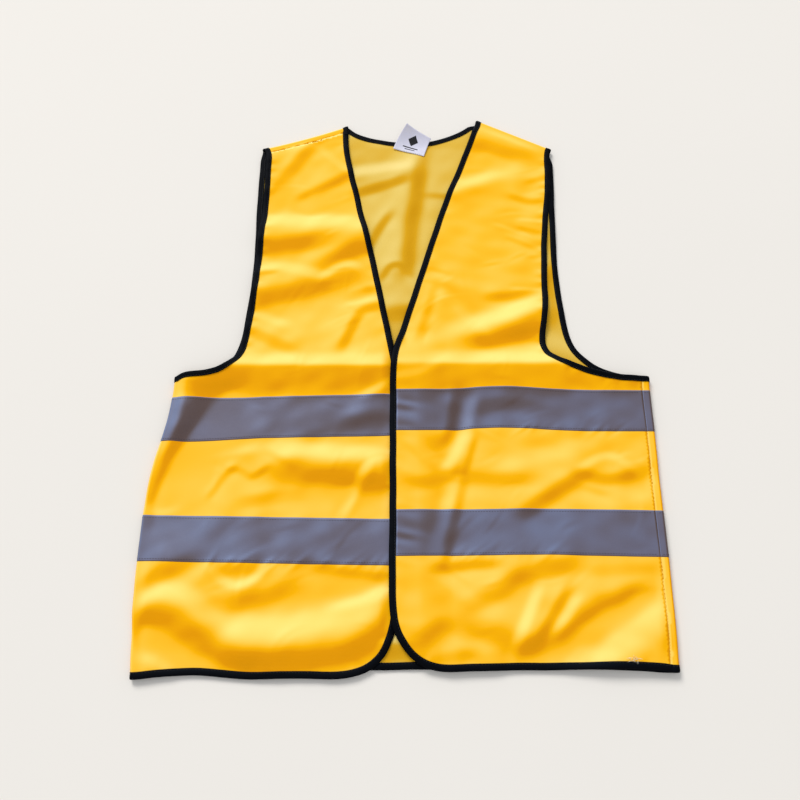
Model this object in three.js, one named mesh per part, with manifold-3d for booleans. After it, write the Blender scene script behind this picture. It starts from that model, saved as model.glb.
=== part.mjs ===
// High visibility vest, lying flat on its back with the fronts closed.
// Millimetres, +Z up, X across the chest (the wearer's left is +X), Y from hem to shoulders.
// The origin is the middle of the garment's footprint, at floor level.
//
// The garment is a stack of thin cloth layers, each a flat sheet at its own height: the back
// panel, the wearer's right front over it, and the left front lapping over the right one.
// Soft rolls join them at the sides and shoulders. A folded binding wraps every free edge,
// and two reflective bands run round the body. Each front, with its bands and hem binding,
// is divided at a crease from the neck point to the hem: flap inboard, side outboard.
// "Right" and "left" are the wearer's throughout.
import * as THREE from "three";
import { mergeVertices } from "three/addons/utils/BufferGeometryUtils.js";
import Module from "manifold-3d";

// ---------- driving dimensions ----------
const CLOTH = 0.8; // cloth thickness
const GAP = 0.4; // clear space between neighbouring layers
const CLEAR = CLOTH / 2 + GAP; // from a cloth's middle to whatever lies over or under it
const BACK_Z = 1.4; // middle heights of the three cloth levels
const RIGHT_Z = 5.4;
const LEFT_Z = 10;
const BIND_W = 7.5; // visible width of the edge binding
const BIND_T = 0.6; // thickness of each leg of the binding
const BIND_HALF = BIND_W / 2;
const BIND_FACE = CLEAR + BIND_T; // from a cloth's middle to the binding's outer face
const EDGE = BIND_HALF - 1; // the cloth's edge lies this far outside the binding's centreline
const RIGHT_WRAP = 20; // the right front turns this far under the back at the side
const LEFT_WRAP = 10; // the back turns this far over the left front at the side
const SHOULDER_WRAP = 10; // turn-over at the shoulders
const HALF_CREASE = 0.3; // clear space on each side of a crease
const TAPE_T = 0.6; // reflective band
const TAPE_W = 50;
const HOOK_W = 20; // hook strips and loop patches
const HOOK_H = 50;
const HOOK_T = 0.6;
const LOOP_T = 1;
const SIDE_SEAM_T = 0.8;
const SHOULDER_SEAM_T = 0.6;
const RIGHT_EDGE_X = -8.1; // binding centrelines of the straight front edges
const LEFT_EDGE_X = -12.9;
const ARC_STEPS = 6; // segments in each half-turn of cloth or binding

// Middle heights (Y) of the bands, and how far the right flap's top inner corner is set back.
const BANDS = [
  { row: "upper", rightY: -77.5, leftY: -69.7, cornerInset: 0.4 },
  { row: "lower", rightY: -223.5, leftY: -216.5, cornerInset: 0 },
];
const LABEL = {
  width: 47, height: 34, thickness: 0.6,
  x: 6.2, y: 315.2, // middle of the sewn edge
  lift: 0.8, // above the neck binding
  turn: -19.1, // degrees
};

// ---------- measured lines, all [x, y] ----------
// Creases, neck point to hem.
const RIGHT_CREASE = [[-86, 357], [-158.2, -372]];
const LEFT_CREASE = [[107.2, 366], [192.2, -372]];

// Binding centrelines from the neck point down the front, round the corner and along the hem.
const RIGHT_FRONT = [
  [-79.2, 344.2], [-79.0, 334.1], [-76.4, 309.9], [-70.2, 276.0], [-62.9, 246.2],
  [-56.4, 213.9], [-49.3, 182.3], [-42.5, 151.5], [-36.1, 121.4], [-30.4, 92.0],
  [-25.1, 63.2], [-20.0, 35.1], [-15.2, 10.3], [-11.4, -13.9], [-9.2, -36.4],
  [-8.3, -62.4], [-8.1, -118.7], [-8.1, -178.3], [-8.1, -234.8], [-8.4, -278.1],
  [-9.9, -297.0], [-12.6, -314.6], [-16.4, -329.0], [-22.4, -341.6], [-29.8, -350.2],
  [-38.9, -357.0], [-50.8, -361.9], [-66.0, -364.5], [-96.6, -364.6], [-127.1, -364.3],
  [-157.6, -364.9], [-188.4, -362.6], [-219.1, -361.0], [-249.4, -362.9], [-272, -365.0],
  [-280.6, -365.4],
];
const LEFT_FRONT = [
  [97.6, 350.2], [91.9, 333.5], [86.7, 319.7], [77.5, 292.3], [68.1, 265.6], [59.8, 242.6],
  [49.2, 210.4], [39.8, 179.0], [31.0, 148.3], [22.5, 118.3], [13.8, 89.1], [5.4, 60.5],
  [-2.6, 32.5], [-6.9, 18.7], [-10.2, 5.5], [-12.1, -8.0], [-13.0, -23.0], [-13.3, -73.4],
  [-12.9, -135.0], [-13.1, -202.7], [-13.1, -268.5], [-12.7, -289.6], [-12.0, -302.1],
  [-10.2, -314.0], [-6.6, -323.8], [-1.8, -332.1], [4.0, -340.2], [10.6, -346.8],
  [17.6, -351.6], [26.4, -355.3], [40.7, -357.6], [71.2, -357.2], [117.0, -356.2],
  [163, -355.8], [208.7, -355.2], [245, -355.8], [270.3, -357.6], [280.4, -358.4],
];
// Armhole binding centrelines: on the fronts from the side up, on the back from the shoulder down.
const RIGHT_ARM = [
  [-268.4, -25.6], [-262, -25.4], [-253.7, -24.4], [-243.2, -22.8], [-231.5, -19.9],
  [-221.3, -15.9], [-212.4, -10.3], [-206.1, -4.8], [-200.8, 1.4], [-196.7, 8.4],
  [-193.0, 20.3], [-190.6, 35.1], [-188.3, 63.2], [-186.2, 92.0], [-184.4, 120],
  [-183.2, 152], [-182.0, 190], [-181.0, 225.1], [-180.4, 262], [-180.6, 290], [-181.3, 306],
];
const BACK_RIGHT_ARM = [
  [-184.6, 308], [-187.2, 297], [-187.9, 284], [-187.9, 250], [-187.8, 201.2],
  [-186.7, 155], [-186.9, 109.4], [-188.9, 80.1], [-191.5, 51.6], [-195.5, 23.6],
  [-202.3, 5.5], [-213.2, -7.8], [-230, -18.2], [-248, -24.0], [-262, -25.5],
];
const LEFT_ARM = [
  [287, -28.4], [277.5, -28.4], [260.0, -27.6], [242.6, -25.3], [228.7, -22.3],
  [214.9, -18.0], [202.9, -13.2], [191.5, -7.8], [180.6, -1.4], [171.9, 7.0], [167.6, 19.7],
  [167.8, 35.3], [170.6, 52.0], [173.6, 74.7], [175.2, 103.6], [176.9, 133.2],
  [179.2, 166.6], [182.4, 197.7], [185.8, 221.6], [189.1, 245.8], [191.2, 270.6],
  [191.7, 292], [191.9, 304],
];
const BACK_LEFT_ARM = [
  [193.6, 306.5], [196.0, 297], [196.3, 284], [195.2, 253.0], [193.2, 220.4],
  [191.9, 185.5], [190.9, 154.5], [190.8, 124.2], [191.6, 97.6], [193.0, 75], [194.6, 52],
  [197.0, 36], [200.6, 21.5], [206.0, 9.8], [216.0, -1.4], [229, -12.0], [245.2, -19.6],
  [262.7, -24.6], [277, -27.6], [283.8, -28.4],
];
// Outermost line of each side, hem to underarm.
const RIGHT_SIDE = [
  [-280.6, -365.4], [-284.5, -330], [-286.2, -305], [-287.6, -270], [-288.6, -230],
  [-288.8, -190], [-287.4, -160], [-283.2, -130], [-277.6, -104], [-273.4, -80],
  [-271.2, -50], [-270.4, -25.6],
];
const LEFT_SIDE = [
  [280.4, -358.4], [282.6, -318], [284.4, -270], [285.4, -220], [286.2, -165],
  [287.6, -110], [288.6, -60], [289.0, -28.4],
];
// Back neck and back hem binding centrelines, from -X to +X.
const BACK_NECK = [
  [-76.9, 351.6], [-72.6, 347.8], [-66.4, 344.0], [-56.9, 339.6], [-46.0, 336.0],
  [-32.3, 332.7], [-18.6, 330.5], [-2.3, 329.3], [15.4, 329.3], [29.1, 330.5],
  [41.4, 332.8], [56.5, 337.6], [70.3, 343.6], [82.0, 349.6], [90.5, 354.2], [96.2, 356.6],
];
const BACK_HEM = [
  [-259.9, -362.8], [-220, -359.2], [-120, -356.6], [-20, -355.6], [80, -354.6],
  [180, -354.6], [240, -356.2], [264, -358.2], [276.0, -358.4],
];

// ---------- materials ----------
const standard = (color, roughness, metalness = 0) =>
  new THREE.MeshStandardMaterial({ color, roughness, metalness });
const yellowCloth = () => standard(0xffbf1f, 0.55);
const reflectiveTape = () => standard(0x74707f, 0.38, 0.25);
const blackBinding = () => standard(0x11151b, 0.6);
const whiteLabel = () => standard(0xdcd8ea, 0.6);
const hookAndLoop = () => standard(0x1b1b1d, 0.9);

// ---------- plane geometry ----------
const vector = (x, y, z) => new THREE.Vector3(x, y, z);
const move = (point, direction, distance) =>
  [point[0] + direction[0] * distance, point[1] + direction[1] * distance];
const shiftX = (points, shift) => points.map(([x, y]) => [x + shift, y]);

function unit(from, to) {
  const length = Math.hypot(to[0] - from[0], to[1] - from[1]);
  return [(to[0] - from[0]) / length, (to[1] - from[1]) / length];
}

// A smooth line through control points, sampled so that bends get more stations.
function smooth(controls, maxStep = 18, maxBend = 0.14) {
  const samples = 1200;
  const minStep = 3;
  const minLastStep = 2.5;
  const points = controls.map(([x, y]) => vector(x, y, 0));
  const curve = new THREE.CatmullRomCurve3(points, false, "centripetal");
  let previous = curve.getPoint(0);
  let keptTangent = curve.getPoint(1e-3).sub(previous).normalize();
  let run = 0;
  const kept = [previous];
  for (let i = 1; i <= samples; i++) {
    const point = curve.getPoint(i / samples);
    const tangent = point.clone().sub(previous).normalize();
    run += point.distanceTo(previous);
    previous = point;
    const isLast = i === samples;
    const isDue = run > maxStep || tangent.angleTo(keptTangent) > maxBend;
    if (isLast || (run > minStep && isDue)) {
      if (isLast && run < minLastStep && kept.length > 2) kept.pop();
      kept.push(point);
      keptTangent = tangent;
      run = 0;
    }
  }
  return kept.map(({ x, y }) => [x, y]);
}

// Offsets a polyline sideways: positive is to the left of its direction.
function offset(points, distance) {
  return points.map(([x, y], i) => {
    const before = points[Math.max(0, i - 1)];
    const after = points[Math.min(points.length - 1, i + 1)];
    const [dx, dy] = unit(before, after);
    return [x - distance * dy, y + distance * dx];
  });
}

// Keeps what lies more than gap to one side of a line: side +1 is its left, -1 its right.
function clip(points, [start, end], side, gap, closed = true) {
  const [dx, dy] = unit(start, end);
  const distance = ([x, y]) => side * (dx * (y - start[1]) - dy * (x - start[0])) - gap;
  const kept = [];
  points.forEach((point, i) => {
    const next = points[i + 1] ?? (closed ? points[0] : point);
    const here = distance(point);
    const there = distance(next);
    if (here >= 0) kept.push(point);
    if (here >= 0 !== there >= 0) {
      const t = here / (here - there);
      kept.push([point[0] + t * (next[0] - point[0]), point[1] + t * (next[1] - point[1])]);
    }
  });
  return kept;
}

// Creases run downwards, so +X is their left.
const clipCrease = (points, crease, side) => clip(points, crease, side, HALF_CREASE);
const clipPath = (points, crease, side) => clip(points, crease, side, HALF_CREASE, false);

// The X at which a line passes the height y.
function xAt(line, y) {
  const i = line.findIndex((a, k) => (a[1] - y) * (line[k + 1][1] - y) <= 0);
  const [[x0, y0], [x1, y1]] = line.slice(i, i + 2);
  return x0 + ((x1 - x0) * (y - y0)) / (y1 - y0);
}

// ---------- solids ----------
const manifold = await Module();
manifold.setup();

function toSolid(geometry) {
  const plain = geometry.index ? geometry.toNonIndexed() : geometry.clone();
  for (const key of Object.keys(plain.attributes)) {
    if (key !== "position") plain.deleteAttribute(key);
  }
  const merged = mergeVertices(plain, 1e-4);
  return new manifold.Manifold(new manifold.Mesh({
    numProp: 3,
    vertProperties: new Float32Array(merged.attributes.position.array),
    triVerts: new Uint32Array(merged.index.array),
  }));
}

function join(...geometries) {
  const mesh = geometries.map(toSolid).reduce((a, b) => a.add(b)).getMesh();
  const positions = new Float32Array(mesh.vertProperties);
  const geometry = new THREE.BufferGeometry();
  geometry.setAttribute("position", new THREE.BufferAttribute(positions, 3));
  geometry.setIndex(new THREE.BufferAttribute(new Uint32Array(mesh.triVerts), 1));
  geometry.computeVertexNormals();
  return geometry;
}

// A flat sheet standing on the height z.
function sheet(outline, z, thickness) {
  const shape = new THREE.Shape(outline.map(([x, y]) => new THREE.Vector2(x, y)));
  const options = { depth: thickness, bevelEnabled: false };
  return new THREE.ExtrudeGeometry(shape, options).translate(0, 0, z);
}
const clothSheet = (outline, middleZ) => sheet(outline, middleZ - CLOTH / 2, CLOTH);

// A closed profile [[a, b]...] carried through stations: point = origin + a across + b normal.
function sweep(stations, profile) {
  const clockwise = THREE.ShapeUtils.area(profile.map(([x, y]) => ({ x, y }))) < 0;
  const section = clockwise ? [...profile].reverse() : profile;
  const rings = stations.map(({ origin, across, normal }) => section.map(([a, b]) =>
    origin.clone().addScaledVector(across, a).addScaledVector(normal, b)));
  const triangles = [];
  for (let i = 0; i + 1 < rings.length; i++) {
    for (let j = 0; j < section.length; j++) {
      const k = (j + 1) % section.length;
      const far = rings[i + 1][k];
      triangles.push([rings[i][j], rings[i][k], far], [rings[i][j], far, rings[i + 1][j]]);
    }
  }
  const first = rings[0];
  const last = rings.at(-1);
  const contour = section.map(([x, y]) => new THREE.Vector2(x, y));
  for (const [i, j, k] of THREE.ShapeUtils.triangulateShape(contour, [])) {
    triangles.push([first[i], first[k], first[j]], [last[i], last[j], last[k]]);
  }
  // Turn the faces outwards if the stations run the other way.
  const volume = triangles.reduce((sum, [a, b, c]) => sum + a.dot(b.clone().cross(c)), 0);
  const corners = triangles.flatMap(([a, b, c]) => (volume < 0 ? [a, c, b] : [a, b, c]));
  const geometry = mergeVertices(new THREE.BufferGeometry().setFromPoints(corners), 1e-4);
  geometry.computeVertexNormals();
  return geometry;
}

// ---------- cloth rolls ----------
// The C of a roll between a front level and the back, outermost at a = 0.
// The legs run inwards from there; grow moves the whole C outwards.
function roll({ topZ, topLeg, bottomLeg, thickness = CLOTH, grow = 0 }) {
  const clothRadius = (topZ - BACK_Z) / 2;
  const middleZ = (topZ + BACK_Z) / 2;
  const outer = clothRadius + grow + thickness / 2;
  const inner = clothRadius + grow - thickness / 2;
  const arc = (radius, from, to) => Array.from({ length: ARC_STEPS + 1 }, (_, i) => {
    const angle = from + ((to - from) * i) / ARC_STEPS;
    return [-clothRadius + radius * Math.sin(angle), middleZ + radius * Math.cos(angle)];
  });
  return [
    [-topLeg, middleZ + outer],
    ...arc(outer, 0, Math.PI),
    [-bottomLeg, middleZ - outer],
    [-bottomLeg, middleZ - inner],
    ...arc(inner, Math.PI, 0),
    [-topLeg, middleZ + inner],
  ];
}

// Carries a roll along a line, without turning it; out is its outward direction.
function carry(line, out, profile) {
  const across = vector(...out, 0);
  const normal = vector(0, 0, 1);
  return sweep(line.map(([x, y]) => ({ origin: vector(x, y, 0), across, normal })), profile);
}

// A side line run straight out under the bindings at both ends, to the cloth's own edge.
function straightEnds(side) {
  const [x0, y0] = side[0];
  const [x1, y1] = side.at(-1);
  const reach = BIND_HALF + 1;
  return [
    [x0, y0 - EDGE], [x0, y0 + reach], ...side.slice(1, -1), [x1, y1 - reach], [x1, y1 + EDGE],
  ];
}

// A panel's edge beside a side line, hem to underarm; samples outside bottom to top are dropped.
function panelSide(side, shift, bottom, top) {
  const [x0, y0] = side[0];
  const [x1, y1] = side.at(-1);
  const middle = side.filter(([, y]) => y > bottom && y < top);
  return shiftX([[x0, y0 - EDGE], ...middle, [x1, y1 + EDGE]], shift);
}

// ---------- bindings ----------
// The U of a folded binding, from the free edge (-) to the cloth (+).
const BINDING_PROFILE = [
  [-BIND_HALF, -BIND_FACE], [BIND_HALF, -BIND_FACE],
  [BIND_HALF, -CLEAR], [-BIND_HALF + BIND_T, -CLEAR],
  [-BIND_HALF + BIND_T, CLEAR], [BIND_HALF, CLEAR],
  [BIND_HALF, BIND_FACE], [-BIND_HALF, BIND_FACE],
];

// path: [{ point, normal }] with the cloth's outward normal; side +1 when the cloth lies
// towards tangent x normal.
function binding(path, side) {
  return sweep(path.map(({ point, normal }, i) => {
    const before = path[Math.max(0, i - 1)].point;
    const after = path[Math.min(path.length - 1, i + 1)].point;
    const tangent = after.clone().sub(before).normalize();
    return {
      origin: point,
      across: tangent.clone().cross(normal).normalize().multiplyScalar(side),
      normal: normal.clone().addScaledVector(tangent, -normal.dot(tangent)).normalize(),
    };
  }), BINDING_PROFILE);
}

const onLevel = (points, z, up) =>
  points.map(([x, y]) => ({ point: vector(x, y, z), normal: vector(0, 0, up) }));
const onFront = (points, z) => onLevel(points, z, 1);
const onBack = (points) => onLevel(points, BACK_Z, -1);

// The binding's path round a fold of the cloth whose outermost point is tip.
function roundFold(tip, out, fromZ, toZ) {
  const radius = Math.abs(fromZ - toZ) / 2;
  const centre = vector(...move(tip, out, -radius), (fromZ + toZ) / 2);
  return Array.from({ length: ARC_STEPS + 1 }, (_, i) => {
    const angle = (Math.PI * i) / ARC_STEPS;
    const [x, y] = out.map((part) => part * Math.sin(angle));
    const normal = vector(x, y, Math.sign(fromZ - toZ) * Math.cos(angle));
    return { point: centre.clone().addScaledVector(normal, radius), normal };
  });
}

// ---------- shared lines ----------
const rightFront = smooth(RIGHT_FRONT);
const leftFront = smooth(LEFT_FRONT);
const rightArm = smooth(RIGHT_ARM);
const leftArm = smooth(LEFT_ARM);
const backRightArm = smooth(BACK_RIGHT_ARM);
const backLeftArm = smooth(BACK_LEFT_ARM);
const rightSide = smooth(RIGHT_SIDE, 45, 0.2);
const leftSide = smooth(LEFT_SIDE, 70, 0.2);
const backNeck = smooth(BACK_NECK);
const backHem = smooth(BACK_HEM, 40);
const RIGHT_OUT = [-1, 0];
const LEFT_OUT = [1, 0];

// Points on a shoulder line: inset runs inwards from that end, rise runs outwards (+Y).
function shoulder(tip, neck) {
  const inward = unit(tip, neck);
  const turn = Math.sign(inward[0]);
  const out = [-turn * inward[1], turn * inward[0]];
  return {
    out,
    nearTip: (inset, rise = 0) => move(move(tip, inward, inset), out, rise),
    nearNeck: (inset, rise = 0) => move(move(neck, inward, -inset), out, rise),
  };
}
const rightShoulder = shoulder([-188, 318.9], [-76, 359]);
const leftShoulder = shoulder([199, 315.5], [98.7, 366.5]);
const SHOULDER_INSET = 1; // cloth rolls stop this far inside each end
const PANEL_DROP = -5; // a rolled panel's sheet ends this far below the shoulder line
const WRAP_DROP = -SHOULDER_WRAP - GAP; // a sheet ends here to clear the other's turn-over

const shoulderRoll = ({ out, nearTip, nearNeck }, legs) =>
  carry([nearTip(SHOULDER_INSET), nearNeck(SHOULDER_INSET)], out, roll(legs));

// ---------- panels ----------
// In each outline, edge samples near a corner are dropped in favour of the corner's own points.
function rightFrontOutline() {
  const outline = [
    ...offset(rightFront, EDGE).filter(([x]) => x > -270),
    ...panelSide(rightSide, 5, -361, -30),
    ...offset(rightArm, EDGE).filter(([x]) => x > -263),
    [-184.6, 330], [-84, 366], // beyond the shoulder, cut off below
  ];
  const { nearTip, nearNeck } = rightShoulder;
  return clip(outline, [nearTip(0, WRAP_DROP), nearNeck(0, WRAP_DROP)], -1, 0);
}

function rightFrontSide() {
  const sideRoll = roll({ topZ: RIGHT_Z, topLeg: 8, bottomLeg: RIGHT_WRAP });
  return join(
    clothSheet(clipCrease(rightFrontOutline(), RIGHT_CREASE, -1), RIGHT_Z),
    carry(straightEnds(rightSide), RIGHT_OUT, sideRoll),
  );
}

const rightFrontFlap = () =>
  clothSheet(clipCrease(rightFrontOutline(), RIGHT_CREASE, 1), RIGHT_Z);

function leftFrontOutline() {
  return [
    ...offset(leftFront, -EDGE).filter(([x]) => x < 266),
    ...panelSide(leftSide, -LEFT_WRAP - GAP, -352, -35),
    ...offset(leftArm, -EDGE).filter(([x, y]) => x < 276 && y < 304.5),
    leftShoulder.nearTip(SHOULDER_INSET, PANEL_DROP),
    leftShoulder.nearNeck(9.5, PANEL_DROP),
  ];
}

const leftFrontSide = () => join(
  clothSheet(clipCrease(leftFrontOutline(), LEFT_CREASE, 1), LEFT_Z),
  shoulderRoll(leftShoulder, { topZ: LEFT_Z, topLeg: 9, bottomLeg: SHOULDER_WRAP }),
);

function leftFrontFlap() {
  const { nearTip, nearNeck } = leftShoulder;
  const shoulderCut = [nearNeck(0, WRAP_DROP), nearTip(0, WRAP_DROP)];
  const outline = clipCrease(leftFrontOutline(), LEFT_CREASE, -1);
  return clothSheet(clip(outline, shoulderCut, -1, 0.2), LEFT_Z);
}

function backPanel() {
  const rightEdge = shiftX(straightEnds(rightSide).slice(1, -1), RIGHT_WRAP + GAP);
  const outline = [
    ...offset(backHem, -EDGE).filter(([x]) => x > -257 && x < 273),
    ...panelSide(leftSide, -6, -352, -35),
    ...offset(backLeftArm, EDGE).reverse().filter(([x, y]) => x < 279 && y < 299),
    leftShoulder.nearTip(SHOULDER_INSET, WRAP_DROP),
    leftShoulder.nearNeck(SHOULDER_INSET, WRAP_DROP),
    ...offset(backNeck, EDGE).reverse().filter(([x]) => x > -70 && x < 88),
    rightShoulder.nearNeck(SHOULDER_INSET, PANEL_DROP),
    rightShoulder.nearTip(SHOULDER_INSET, PANEL_DROP),
    ...offset(backRightArm, -EDGE).filter(([x, y]) => y < 300 && x > -248),
    [rightEdge.at(-1)[0], -25.3 + EDGE],
    ...rightEdge.reverse(),
    [rightSide[0][0] + RIGHT_WRAP + GAP, -362.6 - EDGE],
  ];
  const sideRoll = roll({ topZ: LEFT_Z, topLeg: LEFT_WRAP, bottomLeg: 10 });
  return join(
    clothSheet(outline, BACK_Z),
    carry(straightEnds(leftSide), LEFT_OUT, sideRoll),
    shoulderRoll(rightShoulder, { topZ: RIGHT_Z, topLeg: SHOULDER_WRAP, bottomLeg: 8 }),
  );
}

// ---------- binding pieces ----------
const rightEdgeBinding = () =>
  binding(onFront(clipPath(rightFront, RIGHT_CREASE, 1), RIGHT_Z), 1);
const leftEdgeBinding = () =>
  binding(onFront(clipPath(leftFront, LEFT_CREASE, -1), LEFT_Z), -1);

function rightHemBinding() {
  const [x, y] = rightSide[0];
  const hem = clipPath(rightFront, RIGHT_CREASE, -1).filter((point) => point[0] > -277);
  return binding([
    ...onFront(hem, RIGHT_Z),
    ...roundFold([x, y], RIGHT_OUT, RIGHT_Z, BACK_Z),
    ...onBack([[x + 10, y], [x + RIGHT_WRAP, y]]),
  ], 1);
}

function leftHemBinding() {
  const [x, y] = leftSide[0];
  const seamX = x - LEFT_WRAP;
  const hem = clipPath(leftFront, LEFT_CREASE, 1).filter((point) => point[0] < seamX - 4);
  return binding(onFront([...hem, [seamX - GAP, y]], LEFT_Z), -1);
}

function backHemBinding() {
  const [x, y] = leftSide[0];
  const path = [
    ...onBack(backHem),
    ...roundFold([x, y], LEFT_OUT, BACK_Z, LEFT_Z),
    ...onFront([[x - LEFT_WRAP, y]], LEFT_Z),
  ];
  // Stations that crowd the one before them would kink the binding.
  const spaced = path.filter(({ point }, i) =>
    i === 0 || point.distanceTo(path[i - 1].point) > 0.8);
  return binding(spaced, 1);
}

function rightArmholeBinding() {
  const [x, y] = rightSide.at(-1);
  return binding([
    ...onBack([[x + RIGHT_WRAP, y], [x + 8, y]]),
    ...roundFold([x, y], RIGHT_OUT, BACK_Z, RIGHT_Z),
    ...onFront(rightArm.slice(1), RIGHT_Z),
    ...roundFold(rightShoulder.nearTip(BIND_HALF), rightShoulder.out, RIGHT_Z, BACK_Z),
    ...onBack(backRightArm.filter((point) => point[0] > -246)),
  ], 1);
}

function leftArmholeBinding() {
  const [x, y] = leftSide.at(-1);
  const seamX = x - LEFT_WRAP;
  const front = leftArm.filter((point) => point[0] < seamX - 6);
  return binding([
    ...onFront([[seamX - GAP, y], ...front], LEFT_Z),
    ...roundFold(leftShoulder.nearTip(BIND_HALF), leftShoulder.out, LEFT_Z, BACK_Z),
    ...onBack(backLeftArm.filter((point) => point[0] < 282)),
    ...roundFold([x, y], LEFT_OUT, BACK_Z, LEFT_Z),
    ...onFront([[seamX, y]], LEFT_Z),
  ], -1);
}

function backNeckBinding() {
  const endDrop = -SHOULDER_WRAP + 0.2;
  return binding([
    ...onFront([rightShoulder.nearNeck(BIND_HALF, endDrop)], RIGHT_Z),
    ...roundFold(rightShoulder.nearNeck(BIND_HALF), rightShoulder.out, RIGHT_Z, BACK_Z),
    ...onBack(backNeck),
    ...roundFold(leftShoulder.nearNeck(BIND_HALF), leftShoulder.out, BACK_Z, LEFT_Z),
    ...onFront([leftShoulder.nearNeck(BIND_HALF, endDrop)], LEFT_Z),
  ], -1);
}

// ---------- reflective bands ----------
const LEFT_INNER_X = LEFT_EDGE_X + BIND_HALF + GAP; // clear of the left front's edge binding
const bandLevels = (y) => [y - TAPE_W / 2, y, y + TAPE_W / 2];
const bandRoll = (legs) => roll({ ...legs, thickness: TAPE_T, grow: CLEAR + TAPE_T / 2 });

// A flat length of band about the height y; fromX (-X end) and toX (+X end) give X at a height.
function bandSheet(y, fromX, toX, z) {
  const [low, , high] = bandLevels(y);
  const outline = [[fromX(low), low], [toX(low), low], [toX(high), high], [fromX(high), high]];
  return sheet(outline, z, TAPE_T);
}

function bandRightSide({ rightY }) {
  const levels = bandLevels(rightY);
  const outer = levels.map((y) => [xAt(rightSide, y), y]);
  const crease = [levels[0], levels[2]].map((y) => [xAt(RIGHT_CREASE, y) - HALF_CREASE, y]);
  const outline = [...crease, ...shiftX(outer, 6).reverse()];
  return join(
    sheet(outline, RIGHT_Z + CLEAR, TAPE_T),
    carry(outer, RIGHT_OUT, bandRoll({ topZ: RIGHT_Z, topLeg: 9, bottomLeg: RIGHT_WRAP })),
  );
}

function bandRightFlap({ rightY, cornerInset }) {
  const innerX = RIGHT_EDGE_X - BIND_HALF - GAP;
  const crease = (y) => xAt(RIGHT_CREASE, y) + HALF_CREASE;
  const inner = (y) => (y > rightY ? innerX - cornerInset : innerX);
  return bandSheet(rightY, crease, inner, RIGHT_Z + CLEAR);
}

function bandLeftFlap({ leftY }) {
  const crease = (y) => xAt(LEFT_CREASE, y) - HALF_CREASE;
  return bandSheet(leftY, () => LEFT_INNER_X, crease, LEFT_Z + CLEAR);
}

function bandLeftSide({ leftY }) {
  const crease = (y) => xAt(LEFT_CREASE, y) + HALF_CREASE;
  const seam = (y) => xAt(leftSide, y) - LEFT_WRAP - GAP;
  return bandSheet(leftY, crease, seam, LEFT_Z + CLEAR);
}

// Turns up over the left side to the seam. Its two ends lie at different heights.
function bandBack({ rightY, leftY }) {
  const [rightLow, , rightHigh] = bandLevels(rightY);
  const levels = bandLevels(leftY);
  const rightEnd = (y) => [xAt(rightSide, y) + RIGHT_WRAP + GAP, y];
  const leftEnd = (y) => [xAt(leftSide, y) - 7, y];
  const outline = [rightEnd(rightLow), leftEnd(levels[0]), leftEnd(levels[2]), rightEnd(rightHigh)];
  const outer = levels.map((y) => [xAt(leftSide, y), y]);
  return join(
    sheet(outline, BACK_Z - CLEAR - TAPE_T, TAPE_T),
    carry(outer, LEFT_OUT, bandRoll({ topZ: LEFT_Z, topLeg: LEFT_WRAP, bottomLeg: 11 })),
  );
}

// ---------- hook strips and loop patches ----------
// One rectangle from x towards +X, halfway between the right and left band heights.
function patch({ rightY, leftY }, x, z, thickness) {
  const low = (rightY + leftY) / 2 - HOOK_H / 2;
  const high = low + HOOK_H;
  return sheet([[x, low], [x + HOOK_W, low], [x + HOOK_W, high], [x, high]], z, thickness);
}
// On the right front's edge.
const hookStrip = (band) => patch(band, -12, RIGHT_Z + BIND_FACE + GAP, HOOK_T);
// Under the left front's edge.
const loopPatch = (band) => patch(band, LEFT_INNER_X, LEFT_Z - CLEAR - LOOP_T, LOOP_T);

// ---------- seam allowances inside the garment ----------
// inward is the X direction from the side line; the strip straddles the wrap's end.
function sideSeam(side, inward, wrap, z) {
  const line = [-344, -230, -150, -90, -44].map((y) => [xAt(side, y), y]);
  const near = shiftX(line, inward * (wrap - 1));
  const far = shiftX(line, inward * (wrap + 9)).reverse();
  return sheet([...near, ...far], z, SIDE_SEAM_T);
}

function shoulderSeam({ nearTip, nearNeck }, neckInset, z) {
  const tipInset = 10;
  return sheet([
    nearTip(tipInset, -9), nearNeck(neckInset, -9),
    nearNeck(neckInset, -16), nearTip(tipInset, -16),
  ], z, SHOULDER_SEAM_T);
}

// ---------- assembly ----------
const group = new THREE.Group();
function add(name, geometry, material) {
  const mesh = new THREE.Mesh(geometry, material);
  mesh.name = name;
  group.add(mesh);
  return mesh;
}

// The label turns about its sewn lower edge.
function addLabel() {
  const { width, height, thickness, x, y, lift, turn } = LABEL;
  const geometry = new THREE.BoxGeometry(width, height, thickness).translate(0, height / 2, 0);
  const label = add("neck_label", geometry, whiteLabel());
  label.position.set(x, y, BACK_Z + BIND_FACE + lift);
  label.rotation.z = (turn * Math.PI) / 180;
}

add("front_panel_right_side", rightFrontSide(), yellowCloth());
add("front_panel_right_flap", rightFrontFlap(), yellowCloth());
add("front_panel_left_side", leftFrontSide(), yellowCloth());
add("front_panel_left_flap", leftFrontFlap(), yellowCloth());
add("back_panel", backPanel(), yellowCloth());

add("binding_front_edge_right", rightEdgeBinding(), blackBinding());
add("binding_hem_right", rightHemBinding(), blackBinding());
add("binding_front_edge_left", leftEdgeBinding(), blackBinding());
add("binding_hem_left", leftHemBinding(), blackBinding());
add("binding_hem_back", backHemBinding(), blackBinding());
add("binding_armhole_right", rightArmholeBinding(), blackBinding());
add("binding_armhole_left", leftArmholeBinding(), blackBinding());
add("binding_neck_back", backNeckBinding(), blackBinding());

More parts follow.
